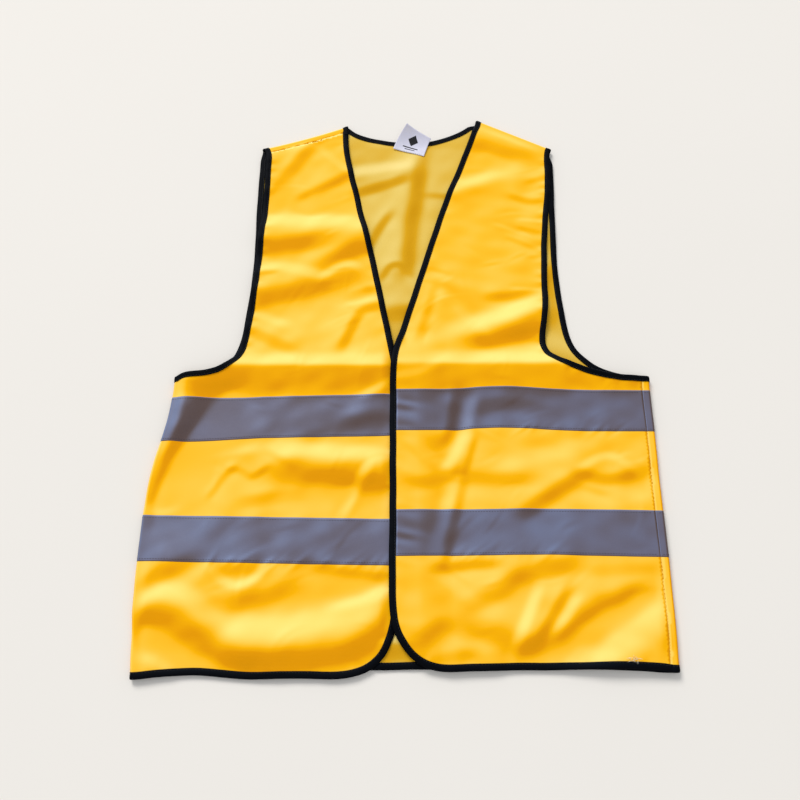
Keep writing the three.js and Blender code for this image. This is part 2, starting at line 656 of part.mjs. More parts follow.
for (const band of BANDS) {
  const name = `reflective_band_${band.row}`;
  add(`${name}_right_side`, bandRightSide(band), reflectiveTape());
  add(`${name}_right_flap`, bandRightFlap(band), reflectiveTape());
  add(`${name}_left_flap`, bandLeftFlap(band), reflectiveTape());
  add(`${name}_left_side`, bandLeftSide(band), reflectiveTape());
  add(`${name}_back`, bandBack(band), reflectiveTape());
  add(`hook_strip_${band.row}`, hookStrip(band), hookAndLoop());
  add(`loop_patch_${band.row}`, loopPatch(band), hookAndLoop());
}

const overBack = BACK_Z + CLEAR;
const underLeft = LEFT_Z - CLEAR - SIDE_SEAM_T;
const underRight = RIGHT_Z - CLEAR - SHOULDER_SEAM_T;
add("side_seam_right", sideSeam(rightSide, 1, RIGHT_WRAP, overBack), yellowCloth());
add("side_seam_left", sideSeam(leftSide, -1, LEFT_WRAP, underLeft), yellowCloth());
add("shoulder_seam_right", shoulderSeam(rightShoulder, 18, underRight), yellowCloth());
add("shoulder_seam_left", shoulderSeam(leftShoulder, 12, overBack), yellowCloth());
addLabel();

// The origin goes to the middle of the footprint, at floor level.
group.updateMatrixWorld(true);
const bounds = new THREE.Box3().setFromObject(group, true);
const middle = bounds.getCenter(new THREE.Vector3());
group.position.set(-middle.x, -middle.y, -bounds.min.z);

export default group;
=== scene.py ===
# A high visibility vest lying flat on its back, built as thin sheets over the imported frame.
# The neck points to +y, the fronts face up (+z) and the wearer's right is at -x; the left front
# laps over the right one. "Right" and "left" below are the wearer's. Lengths are millimetres
# unless a name or comment says otherwise, and angles are radians.
import math

import bmesh
import bpy
import numpy as np
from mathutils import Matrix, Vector
from mathutils.geometry import delaunay_2d_cdt


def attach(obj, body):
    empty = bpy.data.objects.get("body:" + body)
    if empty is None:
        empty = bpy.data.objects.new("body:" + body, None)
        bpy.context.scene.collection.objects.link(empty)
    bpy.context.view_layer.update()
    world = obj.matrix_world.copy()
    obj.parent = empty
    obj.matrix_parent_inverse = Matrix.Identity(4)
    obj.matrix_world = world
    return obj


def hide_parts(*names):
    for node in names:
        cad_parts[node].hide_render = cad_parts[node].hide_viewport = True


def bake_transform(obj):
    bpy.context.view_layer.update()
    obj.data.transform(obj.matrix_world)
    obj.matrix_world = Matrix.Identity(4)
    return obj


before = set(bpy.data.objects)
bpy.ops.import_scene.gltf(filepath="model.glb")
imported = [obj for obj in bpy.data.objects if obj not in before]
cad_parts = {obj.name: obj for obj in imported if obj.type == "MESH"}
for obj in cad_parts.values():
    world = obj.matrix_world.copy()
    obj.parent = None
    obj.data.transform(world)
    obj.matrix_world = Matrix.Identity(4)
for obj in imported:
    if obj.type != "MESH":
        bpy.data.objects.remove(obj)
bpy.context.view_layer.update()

ORIGIN = (-0.17, 0.70, 0.0)  # from the tables' origin to the frame's

# ---------------------------------------------------------------- outlines: x,y of each point
# front opening from the neck down, round the corner and along the hem to the side
FRONT_RIGHT = [
    -79.5,350, -79,334.1, -76.4,309.9, -70.2,276, -62.9,246.2, -56.4,213.9, -49.3,182.3,
    -42.5,151.5, -36.1,121.4, -30.4,92, -25.1,63.2, -20,35.1, -15.2,10.3, -11.4,-13.9,
    -9.2,-36.4, -8.3,-62.4, -8.1,-118.7, -8.1,-178.3, -8.1,-234.8, -8.4,-278.1, -9.9,-297,
    -12.6,-314.6, -16.4,-329, -22.4,-341.6, -29.8,-350.2, -38.9,-357, -50.8,-361.9,
    -66,-364.5, -96.6,-364.6, -127.1,-364.3, -157.6,-364.9, -188.4,-362.6, -219.1,-361,
    -249.4,-362.9, -272,-365, -280.6,-365.4,
]
FRONT_LEFT = [
    97.6,350.2, 91.9,333.5, 86.7,319.7, 77.5,292.3, 68.1,265.6, 59.8,242.6, 49.2,210.4,
    39.8,179, 31,148.3, 22.5,118.3, 13.8,89.1, 5.4,60.5, -2.6,32.5, -6.9,18.7, -10.2,5.5,
    -12.1,-8, -13,-23, -13.3,-73.4, -12.9,-135, -13.1,-202.7, -13.1,-268.5, -12.7,-289.6,
    -12,-302.1, -10.2,-314, -6.6,-323.8, -1.8,-332.1, 4,-340.2, 10.6,-346.8, 17.6,-351.6,
    26.4,-355.3, 40.7,-357.6, 71.2,-357.2, 117,-356.2, 163,-355.8, 208.7,-355.2, 245,-355.8,
    270.3,-357.6, 280.4,-358.4,
]
# armholes: the fronts from the underarm up, the back as its two lines run
ARM_RIGHT = [
    -268.4,-25.6, -262,-25.4, -253.7,-24.9, -243.2,-23.8, -231.5,-21.8, -221,-18.3,
    -211.6,-12.9, -204.9,-7, -199.4,-0.6, -195.4,7, -192.4,19.8, -190.6,35.1, -188.3,63.2,
    -186.2,92, -184.4,120, -183.2,152, -182,190, -181,225.1, -180.6,262, -180.9,290, -181,306,
]
BACK_ARM_RIGHT = [
    -188.9,308, -189.2,297, -189.1,284, -188.7,250, -188,201.2, -186.7,155, -186.9,109.4,
    -188.9,80.1, -191.5,51.6, -194.9,23, -200.6,4.6, -210.4,-9.2, -227.5,-20.2, -247,-24.8,
    -262,-25.6,
]
ARM_LEFT = [
    287,-28.4, 277.5,-28.4, 260,-27.6, 242.6,-25.3, 228.7,-22.3, 214.9,-18, 202.9,-13.2,
    191.5,-7.8, 180.6,-1.4, 171.9,7, 167.6,19.7, 167.8,35.3, 170.6,52, 173.6,74.7,
    175.2,103.6, 176.9,133.2, 179.2,166.6, 182.4,197.7, 185.8,221.6, 189.1,245.8,
    191.2,270.6, 191.7,292, 191.9,304,
]
BACK_ARM_LEFT = [
    193.6,306.5, 196,297, 196.3,284, 195.2,253, 193.2,220.4, 191.9,185.5, 190.9,154.5,
    190.8,124.2, 191.6,97.6, 193,75, 194.6,52, 197,36, 200.6,21.5, 206,9.8, 216,-1.4,
    229,-12, 245.2,-19.6, 262.7,-24.6, 277,-27.6, 283.8,-28.4,
]
# side folds, from the hem up
SIDE_RIGHT = [
    -280.6,-365.4, -284.5,-330, -286.2,-305, -287.6,-270, -288.6,-230, -288.8,-190,
    -287.4,-160, -283.2,-130, -277.6,-104, -273.4,-80, -271.2,-50, -270.4,-25.6,
]
SIDE_LEFT = [
    280.4,-358.4, 282.6,-318, 284.4,-270, 285.4,-220, 286.2,-165, 287.6,-110, 288.6,-60,
    289,-28.4,
]
BACK_NECK = [
    -77.6,357.4, -74,352.8, -68.4,347.8, -61,343.2, -52,339.4, -43,336.4, -31,333.8,
    -18.6,331.3, -2.3,329.6, 15.4,329.3, 29.1,330.5, 41.4,332.8, 56.5,337.6, 70.3,344,
    80,349.8, 87.5,355.3, 94.5,361.6,
]
BACK_HEM = [
    -259.9,-362.8, -220,-359.2, -120,-356.6, -20,-355.6, 80,-354.6, 180,-354.6, 240,-356.2,
    264,-358.2, 276,-358.4,
]
UNDERARM_RIGHT, UNDERARM_LEFT = -25.6, -28.4  # y of the side folds' upper ends
HEM_LEFT = -358.4  # y of the left side fold's lower end

# each front's crease line and the height of its pivot
CREASES = {
    "right": ([(-86.0, 357.0), (-158.2, -372.0)], 7.3, 1),
    "left": ([(107.2, 366.0), (192.2, -372.0)], 11.9, -1),
}
PIVOT_REACH = 30  # from a pivot's start to its end, towards the closure

HALF = 7.5 / 2  # half the visible width of the binding
EDGE = HALF - 1.0  # how far the cloth reaches into it
CLOTH = 0.5  # thickness
SIDE_R, SIDE_L, SHOULDER = 20.0, 10.0, 10.0  # how far each turned edge runs
BACK_Z, RIGHT_Z, LEFT_Z = 1.45, 5.4, 5.9  # resting heights of the sheets
ROLL = 2.1  # from where a sheet starts to turn to the fold's outermost line
TURN_R = math.pi * ROLL + SIDE_R - ROLL  # unrolled lengths past the start of each turn
TURN_L = math.pi * ROLL + SIDE_L - ROLL
TURN_S = math.pi * ROLL + SHOULDER - ROLL

# ---------------------------------------------------------------- folds
# (half width, slope, x,y of each point of its line): a positive slope turns the cloth away
# from the light.
FOLDS_RIGHT = [
    (9, 0.20, -173,243, -159,266, -145,290, -131,315),
    (9, 0.24, -126,238, -102,252, -80,268, -68,272),
    (5, -0.14, -112,322, -97,305, -80,288), (5, -0.16, -112,226, -90,235, -70,246),
    (3.5, 0.14, -100,225, -80,232, -66,237), (16, -0.25, -180,204, -120,203, -50,200),
    (11, 0.22, -182,159, -145,162, -114,167), (12, 0.25, -86,140, -70,152, -44,160),
    (8, -0.17, -182,131, -142,128, -108,117),
    (5.5, -0.2, -98,118, -83,131, -68,136, -55,128, -44,109),
    (13, 0.25, -180,80, -146,88, -106,99, -72,110), (3, 0.16, -180,119, -164,121),
    (5, 0.2, -58,91, -38,97), (4, -0.12, -66,77, -38,84),
    (5.5, 0.24, -36,71, -52,66, -62,45, -71,24), (6, -0.13, -184,66, -152,50),
    (7, 0.18, -186,36, -162,24, -140,12), (5, -0.2, -43,-46, -17,-33),
    (9, 0.07, -240,-40, -190,-38), (17, 0.26, -288,-172, -272,-142, -256,-112),
    (19, 0.25, -263,-104, -247,-78, -233,-52), (10, 0.18, -50,-84, -18,-80),
    (6, -0.18, -291,-186, -262,-187), (3.5, 0.22, -214,-168, -203,-150, -195,-142),
    (3.5, 0.17, -195,-142, -184,-143, -173,-151, -159,-143),
    (6, -0.14, -232,-122, -205,-118, -176,-115), (4, 0.12, -150,-124, -138,-132),
    (13, 0.23, -131,-147, -95,-152, -60,-152), (10, -0.22, -128,-117, -80,-120, -20,-124),
    (7, 0.17, -163,-178, -142,-174, -122,-172), (5.5, -0.27, -44,-143, -54,-162, -65,-186),
    (11, 0.22, -42,-161, -16,-160), (9, 0.2, -284,-278, -263,-262, -247,-254),
    (10, -0.2, -282,-290, -252,-277, -226,-287, -208,-304),
    (4.5, -0.22, -205,-256, -193,-269, -178,-273, -162,-267, -151,-254),
    (6, 0.12, -192,-256, -166,-256), (9, 0.19, -183,-293, -158,-290, -135,-281),
    (6, 0.2, -88,-255, -55,-262, -18,-266), (8, -0.2, -68,-289, -42,-284, -18,-277),
    (15, -0.2, -148,-318, -105,-312, -58,-304),
    (16, 0.30, -292,-308, -264,-305, -238,-317, -210,-333, -182,-346),
    (12, 0.27, -165,-352, -112,-350, -62,-345, -32,-331, -18,-312),
    (8, -0.2, -292,-328, -269,-343, -245,-353),
]
FOLDS_LEFT = [
    (12, 0.27, 96,325, 119,322, 143,311), (12, -0.25, 76,263, 95,270, 112,276),
    (3, 0.14, 88,283, 102,284), (4, 0.16, 170,265, 188,270),
    (4.5, 0.21, 147,237, 165,231, 190,236), (4, 0.16, 152,187, 178,181),
    (2.5, -0.12, 153,202, 180,200), (3, -0.12, 122,194, 150,182),
    (3, 0.14, 136,172, 161,160), (2.5, 0.13, 162,144, 176,145), (3, 0.12, 33,127, 50,121),
    (6, -0.10, 40,118, 60,108), (2.5, -0.14, 139,97, 172,96),
    (6, 0.22, 112,85, 133,86, 153,90), (6, -0.22, 54,86, 74,62, 93,36),
    (12, -0.25, 92,50, 122,60, 156,75), (9, 0.31, 95,21, 130,27, 170,33),
    (11, 0.31, 128,36, 150,44, 176,56), (5, 0.22, 36,92, 28,60, 19,30),
    (5, -0.16, -4,-25, 16,-22, 35,-11), (6, 0.15, 24,-106, 36,-115, 47,-104),
    (9, 0.18, 94,-64, 115,-60, 138,-64), (6, 0.3, 60,-58, 54,-96),
    (4.5, -0.16, 12,-98, 25,-118, 42,-136),
    (6.5, -0.26, 78,-62, 70,-95, 60,-120, 48,-141), (3.5, 0.2, 80,-108, 74,-128, 70,-140),
    (3.5, 0.18, 6,-116, 22,-135), (7, 0.22, 18,-159, 36,-155, 51,-146),
    (6, 0.16, -6,-150, 13,-156), (5, 0.22, 66,-160, 56,-198, 46,-240),
    (7, -0.14, 50,-170, 40,-205, 30,-238), (7.5, 0.19, 70,-149, 98,-153, 131,-155),
    (11, -0.11, 130,-128, 162,-122, 190,-118), (8, 0.27, 140,-188, 164,-172, 196,-151),
    (6, 0.21, 203,-149, 224,-155, 246,-151), (8, 0.22, 258,-149, 290,-137),
    (4.5, -0.18, 203,-138, 221,-127, 238,-126, 257,-141), (4, 0.13, 205,-164, 219,-169),
    (8, -0.08, 225,-180, 270,-168), (5, 0.23, 36,-255, 65,-252, 94,-250),
    (9, 0.24, 82,-288, 104,-278, 125,-263, 168,-252), (6, -0.16, 34,-261, 49,-269, 62,-281),
    (8, 0.2, 24,-326, 37,-315, 49,-325), (6, 0.17, 46,-348, 66,-345),
    (11, 0.23, 78,-319, 96,-323, 116,-331), (5.5, -0.28, 138,-284, 128,-308, 116,-333),
    (5, 0.28, 169,-284, 157,-303, 143,-323), (4.5, -0.2, 180,-290, 170,-305, 160,-318),
    (10, 0.28, 114,-345, 157,-332, 192,-311, 233,-291),
    (8, 0.18, 195,-296, 216,-287, 243,-279),
    (17, -0.24, 165,-362, 200,-345, 232,-325, 256,-306),
    (8, -0.14, 62,-330, 80,-340, 97,-351), (6, 0.10, 209,-257, 263,-255),
]
FOLDS_BACK = [
    (9, -0.16, -62,284, -35,289, -8,292), (6, 0.18, -56,249, -31,257, -6,266),
    (5, 0.22, -41,168, -33,187, -22,206), (3.5, 0.2, -25,119, -18,131, -5,133, 4,122),
    (9.5, 0.30, 27,335, 19,253, 9,185, 5,135), (7, 0.26, 186,130, 184,92, 187,58),
    (6, 0.2, 190,34, 206,14), (4, 0.12, 35,244, 64,241), (10, 0.16, -10,60, 20,66),
]


# ---------------------------------------------------------------- lines in the plane
def unit(v):
    return v / np.linalg.norm(v)


def perp(v):
    return np.array([-v[1], v[0]])


def arc_lengths(points):
    return np.concatenate([[0], np.cumsum(np.linalg.norm(np.diff(points, axis=0), axis=1))])


def resample(points, step):
    s = arc_lengths(points)
    at = np.linspace(0, s[-1], max(2, int(round(s[-1] / step)) + 1))
    return np.stack([np.interp(at, s, points[:, k]) for k in range(points.shape[1])], 1)


def smooth(points, step=3.0):
    """A centripetal spline through the points, sampled about step apart."""
    p = np.reshape(points, (-1, 2)).astype(float)
    p = np.vstack([2 * p[0] - p[1], p, 2 * p[-1] - p[-2]])
    out = []
    for i in range(len(p) - 3):
        a, b, c, d = p[i : i + 4]
        t0 = 0.0
        t1 = t0 + np.linalg.norm(b - a) ** 0.5
        t2 = t1 + np.linalg.norm(c - b) ** 0.5
        t3 = t2 + np.linalg.norm(d - c) ** 0.5
        count = max(4, int(np.linalg.norm(c - b)))
        t = np.linspace(t1, t2, count, endpoint=False)[:, None]
        ab = (t1 - t) / (t1 - t0) * a + (t - t0) / (t1 - t0) * b
        bc = (t2 - t) / (t2 - t1) * b + (t - t1) / (t2 - t1) * c
        cd = (t3 - t) / (t3 - t2) * c + (t - t2) / (t3 - t2) * d
        abc = (t2 - t) / (t2 - t0) * ab + (t - t0) / (t2 - t0) * bc
        bcd = (t3 - t) / (t3 - t1) * bc + (t - t1) / (t3 - t1) * cd
        out.append((t2 - t) / (t2 - t1) * abc + (t - t1) / (t2 - t1) * bcd)
    out.append(p[-2][None])
    return resample(np.vstack(out), step)


def offset(points, distance):
    """Moves a line sideways, positive to the left of its direction."""
    t = np.gradient(points, axis=0)
    t /= np.linalg.norm(t, axis=1)[:, None]
    return points + distance * np.stack([-t[:, 1], t[:, 0]], 1)


def ease(t):
    t = np.clip(t, 0, 1)
    return t * t * (3 - 2 * t)


front_right, front_left = smooth(FRONT_RIGHT), smooth(FRONT_LEFT)
arm_right, arm_left = smooth(ARM_RIGHT), smooth(ARM_LEFT)
back_arm_right, back_arm_left = smooth(BACK_ARM_RIGHT), smooth(BACK_ARM_LEFT)
back_neck, back_hem = smooth(BACK_NECK), smooth(BACK_HEM)
side_right, side_left = smooth(SIDE_RIGHT, 6), smooth(SIDE_LEFT, 6)


def right_x(y):
    """The right side fold at this height up the vest."""
    return np.interp(y, side_right[:, 1], side_right[:, 0])


def left_x(y):
    return np.interp(y, side_left[:, 1], side_left[:, 0])


class Shoulder:
    """A straight fold from the armhole tip to the neck; side is 1 at the right, -1 at the left."""

    def __init__(self, tip, neck, side):
        self.tip, self.neck = np.array(tip), np.array(neck)
        self.inward = unit(self.neck - self.tip)
        self.out = side * perp(self.inward)
        self.length = np.linalg.norm(self.tip - self.neck)

    def beyond(self, x, y):
        return (np.stack([x, y], -1) - self.tip) @ self.out

    def at_tip(self, to_neck, out):
        return self.tip + self.inward * to_neck + self.out * out

    def at_neck(self, to_tip, out):
        return self.neck - self.inward * to_tip + self.out * out


shoulder_r = Shoulder((-189.2, 320.2), (-76.4, 359.8), 1)
shoulder_l = Shoulder((199.6, 318.4), (100.4, 369.6), -1)

# ---------------------------------------------------------------- the lie of the cloth
LIGHT_XY = unit(np.array([-0.36, 0.93]))  # the way the light comes from, seen from above
WIDER, STEEPER = 1.16, 0.96  # applied to every tabled fold
# the cross profile of a fold: a slope that stays even over its width and stops softly
PROFILE_AT = np.linspace(-4, 4, 801)
PROFILE_MID = (PROFILE_AT[1:] + PROFILE_AT[:-1]) / 2
PROFILE = np.concatenate([[0], np.cumsum(np.exp(-(np.abs(PROFILE_MID) ** 2.7)) * 0.01)])
PROFILE -= PROFILE[400]
PROFILE_END = PROFILE[-1]


def folds(x, y, table):
    z = np.zeros_like(x)
    for half_width, slope, *line in table:
        s, slope = half_width * WIDER, slope * STEEPER
        line = np.reshape(line, (-1, 2)).astype(float)
        step = max(2.0, 0.5 * s)
        line = smooth(line, step) if len(line) > 2 else resample(line, step)
        reach = 3.0 * s
        lo, hi = line.min(0) - 3.6 * reach, line.max(0) + 3.6 * reach
        m = np.nonzero((x > lo[0]) & (x < hi[0]) & (y > lo[1]) & (y < hi[1]))[0]
        if not len(m):
            continue
        t = np.gradient(line, axis=0)
        t /= np.linalg.norm(t, axis=1)[:, None]
        p = np.stack([x[m], y[m]], 1)
        d2 = ((p[:, None, :] - line[None]) ** 2).sum(2)
        # a soft choice of the nearest point keeps the fold free of kinks
        w = np.exp(-(d2 - d2.min(1)[:, None]) / (2 * (0.9 * s) ** 2))
        w /= w.sum(1)[:, None]
        centre = w @ line
        along = w @ t
        along /= np.maximum(np.linalg.norm(along, axis=1), 1e-6)[:, None]
        across = np.stack([-along[:, 1], along[:, 0]], 1)
        sign = 1.0 if perp(unit(line[-1] - line[0])) @ LIGHT_XY > 0 else -1.0
        v = sign * ((p - centre) * across).sum(1)
        over = np.abs(((p - centre) * along).sum(1))
        ends = np.exp(-0.5 * (over / (1.5 * s)) ** 2)
        rise = np.interp(v / s, PROFILE_AT, PROFILE) - PROFILE_END * np.tanh(v / reach)
        z[m] += slope * s * rise * ends / (1 - PROFILE_END * s / reach)
    return z


def ripple(x, y, seed, amp):
    """Low, irregular unevenness that no cloth is free of."""
    rng = np.random.RandomState(seed)
    z = np.zeros_like(x)
    for k in range(14):
        a = rng.uniform(0, math.pi)
        length = rng.uniform(22, 75)
        phase = rng.uniform(0, 2 * math.pi)
        bend = 0.8 * np.sin(y / 41.0 + k)
        across = 2 * math.pi * (x * math.cos(a) + y * math.sin(a)) / length
        wave = np.sin(across + phase + bend + 0.8 * np.sin(x / 37.0 + 2 * k))
        z += amp * (length / 60.0) * wave / 3.2
    return z


def creases(x, y, seed, x0, x1, count=64, y0=-355, y1=330, amp=0.26):
    """Short faint creases, each one slope with its own place, length, lean and bow."""
    rng = np.random.RandomState(seed)
    z = np.zeros_like(x)
    for _ in range(count):
        cx, cy = rng.uniform(x0, x1), rng.uniform(y0, y1)
        a = rng.normal(0.45, 0.65)
        long, wide = rng.uniform(9, 26), rng.uniform(2.4, 4.6)
        bow, high = rng.uniform(-0.012, 0.012), amp * rng.uniform(0.35, 1.0) * rng.choice([-1, 1])
        u = (x - cx) * math.cos(a) + (y - cy) * math.sin(a)
        v = ((y - cy) * math.cos(a) - (x - cx) * math.sin(a) + bow * u * u) / wide
        z += high * np.exp(-((u / long) ** 2) - v * v) * v
    return z


def gather(x, y, middle, reach, x0, x1, pitch, amp, slant):
    """Small puckers along a stitched edge at y = middle, each with its own place and lean."""
    rng = np.random.RandomState(int(abs(x0) * 7 + abs(x1) + pitch * 10))
    d = y - middle
    z = np.zeros_like(x)
    c = x0 + rng.uniform(0, pitch)
    while c < x1:
        width = pitch * rng.uniform(0.22, 0.5)
        lean = slant * rng.uniform(0.2, 1.6)
        height = amp * rng.uniform(0.2, 1.5) * (1 if rng.rand() > 0.25 else -0.6)
        r = reach * rng.uniform(0.6, 1.5)
        u = x - c - lean * d
        z += height * np.exp(-((u / width) ** 2)) * np.exp(-np.abs(d / r) ** 1.6)
        c += pitch * rng.uniform(0.5, 1.9)
    return z


def band_y(part, row, x):
    """The middle line of a reflective band; row 0 is the upper one."""
    if part == "right":
        if row == 0:
            return -76.8 + 2.6 * (x + 150) / 130 - 0.9 * ease((-150 - x) / 80)
        return -223.2 - 2.2 * (x + 150) / 130
    if part == "left":
        if row == 0:
            return -69.4 + 4.9 * np.exp(-(((x - 116) / 60) ** 2))
        bow = 1.6 * (1 - ((x - 130) / 150.0) ** 2)
        return -216.3 + bow + 0.8 * np.exp(-(((x - 150) / 50) ** 2))
    a, b = (-78.9, -68.4) if row == 0 else (-221.2, -215.8)
    return a + (b - a) * np.clip((x + 270) / 555.0, 0, 1)


def chest(y, height, crest):
    """The crease across the chest: bright and even above its crest, dark and even below it."""
    def hinge(t, at, k):
        return np.logaddexp(0, (at - t) / k) * k / at

    d = y - crest
    up, down = np.maximum(d, 0), np.maximum(-d, 0)
    first = min(4.4, height)
    above = first * hinge(up, 17.0, 3.0) + (height - first) * np.exp(-up / 60.0)
    below = height * hinge(down, 35.5, 4.5)
    return np.where(d > 0, above, below) - 0.3 * np.exp(-((d / 1.6) ** 2))


def near(line, x, y, reach):
    """Distance to a line and how far along it, for the points within reach."""
    d = np.full(x.shape, 1e3)
    s = np.zeros_like(x)
    along = arc_lengths(line)
    lo, hi = line.min(0) - reach, line.max(0) + reach
    m = np.nonzero((x > lo[0]) & (x < hi[0]) & (y > lo[1]) & (y < hi[1]))[0]
    if len(m):
        # only the points of coarse cells that the line passes close to
        cell = 8.0
        cx, cy = np.floor(x[m] / cell).astype(int), np.floor(y[m] / cell).astype(int)
        hot = set()
        k = int(math.ceil(reach / cell)) + 1
        for px, py in np.floor(line / cell).astype(int):
            hot.update((px + i, py + j) for i in range(-k, k + 1) for j in range(-k, k + 1))
        code = np.array([p * 100000 + q for p, q in hot])
        m = m[np.isin(cx * 100000 + cy, code)]
        for k in range(0, len(m), 4000):
            part = m[k : k + 4000]
            d2 = (x[part, None] - line[None, :, 0]) ** 2 + (y[part, None] - line[None, :, 1]) ** 2
            i = d2.argmin(1)
            d[part] = np.sqrt(d2[np.arange(len(i)), i])
            s[part] = along[i]
    return d, s


def puckers(line, x, y, reach, pitch, amp):
    d, s = near(line, x, y, reach * 3)
    phase = 2 * math.pi * s / pitch + 1.1 * np.sin(s / 19.0) + 0.7 * np.sin(s / 7.3)
    return amp * np.exp(-((d / reach) ** 2)) * np.sin(phase)


def side_fade(inside_by, start=3.0, wide=22.0, least=0.0):
    """1 well inside the cloth, falling to the least at a side roll."""
    return least + (1 - least) * ease((inside_by - start) / wide)


def held_above(z, low, softness=0.6):
    return low + softness * np.logaddexp(0, (z - low) / softness)


class Field:
    """A height function sampled on a fine grid and read back through a smooth cubic."""

    def __init__(self, height, x0, x1, y0=-375, y1=376, cell=1.25):
        self.x0, self.y0, self.cell = x0, y0, cell
        self.nx, self.ny = int((x1 - x0) / cell) + 2, int((y1 - y0) / cell) + 2
        x, y = x0 + cell * np.arange(self.nx), y0 + cell * np.arange(self.ny)
        x, y = np.meshgrid(x, y, indexing="ij")
        self.grid = height(x.ravel(), y.ravel()).reshape(x.shape)

    def __call__(self, x, y):
        u = np.clip((np.asarray(x, float) - self.x0) / self.cell, 1, self.nx - 2.001)
        v = np.clip((np.asarray(y, float) - self.y0) / self.cell, 1, self.ny - 2.001)
        i, j = u.astype(int), v.astype(int)

        def weights(t):
            return (-0.5 * t + t * t - 0.5 * t**3, 1 - 2.5 * t * t + 1.5 * t**3,
                    0.5 * t + 2 * t * t - 1.5 * t**3, -0.5 * t * t + 0.5 * t**3)

        wu, wv = weights(u - i), weights(v - j)
        z = 0.0
        for p in range(4):
            for q in range(4):
                z = z + wu[p] * wv[q] * self.grid[i + p - 1, j + q - 1]
        return z


def back_height(x, y):
    z = np.zeros_like(x)
    seen = ease((y - 20) / 60) * ease((340 - y) / 20)  # what shows in the open neck
    z += folds(x, y, FOLDS_BACK) * seen
    z += 0.45 * ripple(x, y, 5, 0.5) * seen
    covered = ease((70 - y) / 80) * ease((y + 345) / 30)
    z += (0.9 * ripple(x / 2.2, y / 2.2, 31, 0.5) + 0.55) * covered
    z += 1.7 * seen * np.exp(-(((x - 12) / 48) ** 2))
    z += 1.1 * ease((y - 20) / 60)
    fade = side_fade(x - right_x(y)) * side_fade(left_x(y) - x)
    for shoulder in (shoulder_r, shoulder_l):
        fade = fade * ease((-shoulder.beyond(x, y) - 3) / 18)
    # flatter under the label
    z = z * (1 - 0.85 * np.exp(-(((x - 8) / 34) ** 2) - (((y - 322) / 24) ** 2)))
    z += 0.4 * ease((x - 165) / 20) * ease((y + 20) / 20) * np.sin(y / 9.0 + x / 15.0)
    hem = np.exp(-(((x + 5) / 40) ** 2)) * ease((-318 - y) / 16)
    z += hem * (0.5 * np.sin(x / 6.0) + 3.0 * ease((y + 356) / 26))
    return BACK_Z + held_above(z * fade, -0.15, 0.3) - 0.16


z_back = Field(back_height, -300, 300)


def right_height(x, y):
    z = folds(x, y, FOLDS_RIGHT)
    z += ripple(x, y, 11, 0.33) + creases(x, y, 5, -285, -12)
    z += chest(y, 7.6, -11.7 - 1.2 * (x + 180) / 170)
    # per band: height of the puckers below and above it, and start and pitch of those below
    for row, (low, up, x0, pitch) in enumerate(((0.16, 0.10, -200, 14.0), (0.34, 0.12, -215, 9.0))):
        middle = band_y("right", row, x)
        z += gather(x, y, middle - 24, 6.5, x0, -8, pitch, low, 0.9)
        z += gather(x, y, middle + 24, 5.0, -262, -20, 17.0, up, -0.4)
    z += puckers(arm_right, x, y, 9, 19, 0.28) + puckers(front_right, x, y, 8, 23, 0.14)
    fade = side_fade(x - right_x(y), 1.0, 15.0, 0.3)
    fade = fade * ease((-shoulder_r.beyond(x, y) - 3) / 13)
    closures = np.exp(-(((y + 74) / 32) ** 2)) + np.exp(-(((y + 220) / 32) ** 2))
    z = z * (1 - 0.75 * np.exp(-(((x + 4) / 16) ** 2)) * closures)
    over = ease((x + 27) / 17) * ease((30 - y) / 30)  # held down under the left front
    z = z * (1 - over) + np.clip(z, -0.6, 0.5) * over + over * 0.22 * chest(y, 7.0, -12.0)
    z = 0.9 + 15.0 * np.tanh((z - 0.9) / 15.0)
    return held_above(RIGHT_Z + z * fade, z_back(x, y) + 1.25)


z_right = Field(right_height, -300, 10)


def left_height(x, y):
    z = 0.76 * folds(x, y, FOLDS_LEFT)
    z += ripple(x, y, 23, 0.33) + creases(x, y, 8, 0, 285)
    z += chest(y, 7.2, -9.8 + 1.6 * (x - 90) / 200)
    # per band: the lower puckers' height, start and end
    for row, (low, x0, x1) in enumerate(((0.34, 110, 262), (0.26, 40, 160))):
        middle = band_y("left", row, x)
        z += gather(x, y, middle - 24, 6.5, x0, x1, 9.5, low, 0.9)
        z += gather(x, y, middle + 24, 5.0, 10, 262, 16.0, 0.10, -0.4)
        # creases pulled from the closure
        e = np.exp(-(((x + 2) / 17) ** 2)) * np.exp(-(((y - middle) / 24) ** 2))
        z += 0.55 * e * np.sin((y + 0.25 * x) / 2.7 + 0.6 * np.sin(y / 5.0))
    z += puckers(arm_left, x, y, 9, 18, 0.30) + puckers(front_left, x, y, 8, 21, 0.14)
    fade = side_fade(left_x(y) - x, 2.0, 16.0, 0.25)
    fade = fade * ease((-shoulder_l.beyond(x, y) - 3) / 13)
    lift = ease((52 - x) / 38) * ease((38 - y) / 34) * ease((y + 356) / 44)  # by the right front
    z = z * (1 - 0.35 * lift)
    z = 0.9 + 14.0 * np.tanh((z - 0.9) / 14.0)
    z = held_above(LEFT_Z + z * fade, z_back(x, y) + 1.25) + 3.4 * lift * fade
    lap = ease((4 - x) / 10) * ease((40 - y) / 20)
    return z * (1 - lap) + held_above(z, z_right(np.minimum(x, 6.0), y) + 2.6, 0.5) * lap


z_left = Field(left_height, -25, 300)


# ---------------------------------------------------------------- laying the unrolled sheets
def dip(points):
    """Lets the right shoulder's fold dip a little between neck and tip."""
    d = points[..., :2] - shoulder_r.tip
    u = np.clip((d @ shoulder_r.inward) / shoulder_r.length, 0, 1)
    k = 8.4 * u * (1 - u) * ease((d @ shoulder_r.out + 46) / 40)
    return np.concatenate([points[..., :2] - k[..., None] * shoulder_r.out, points[..., 2:]], -1)


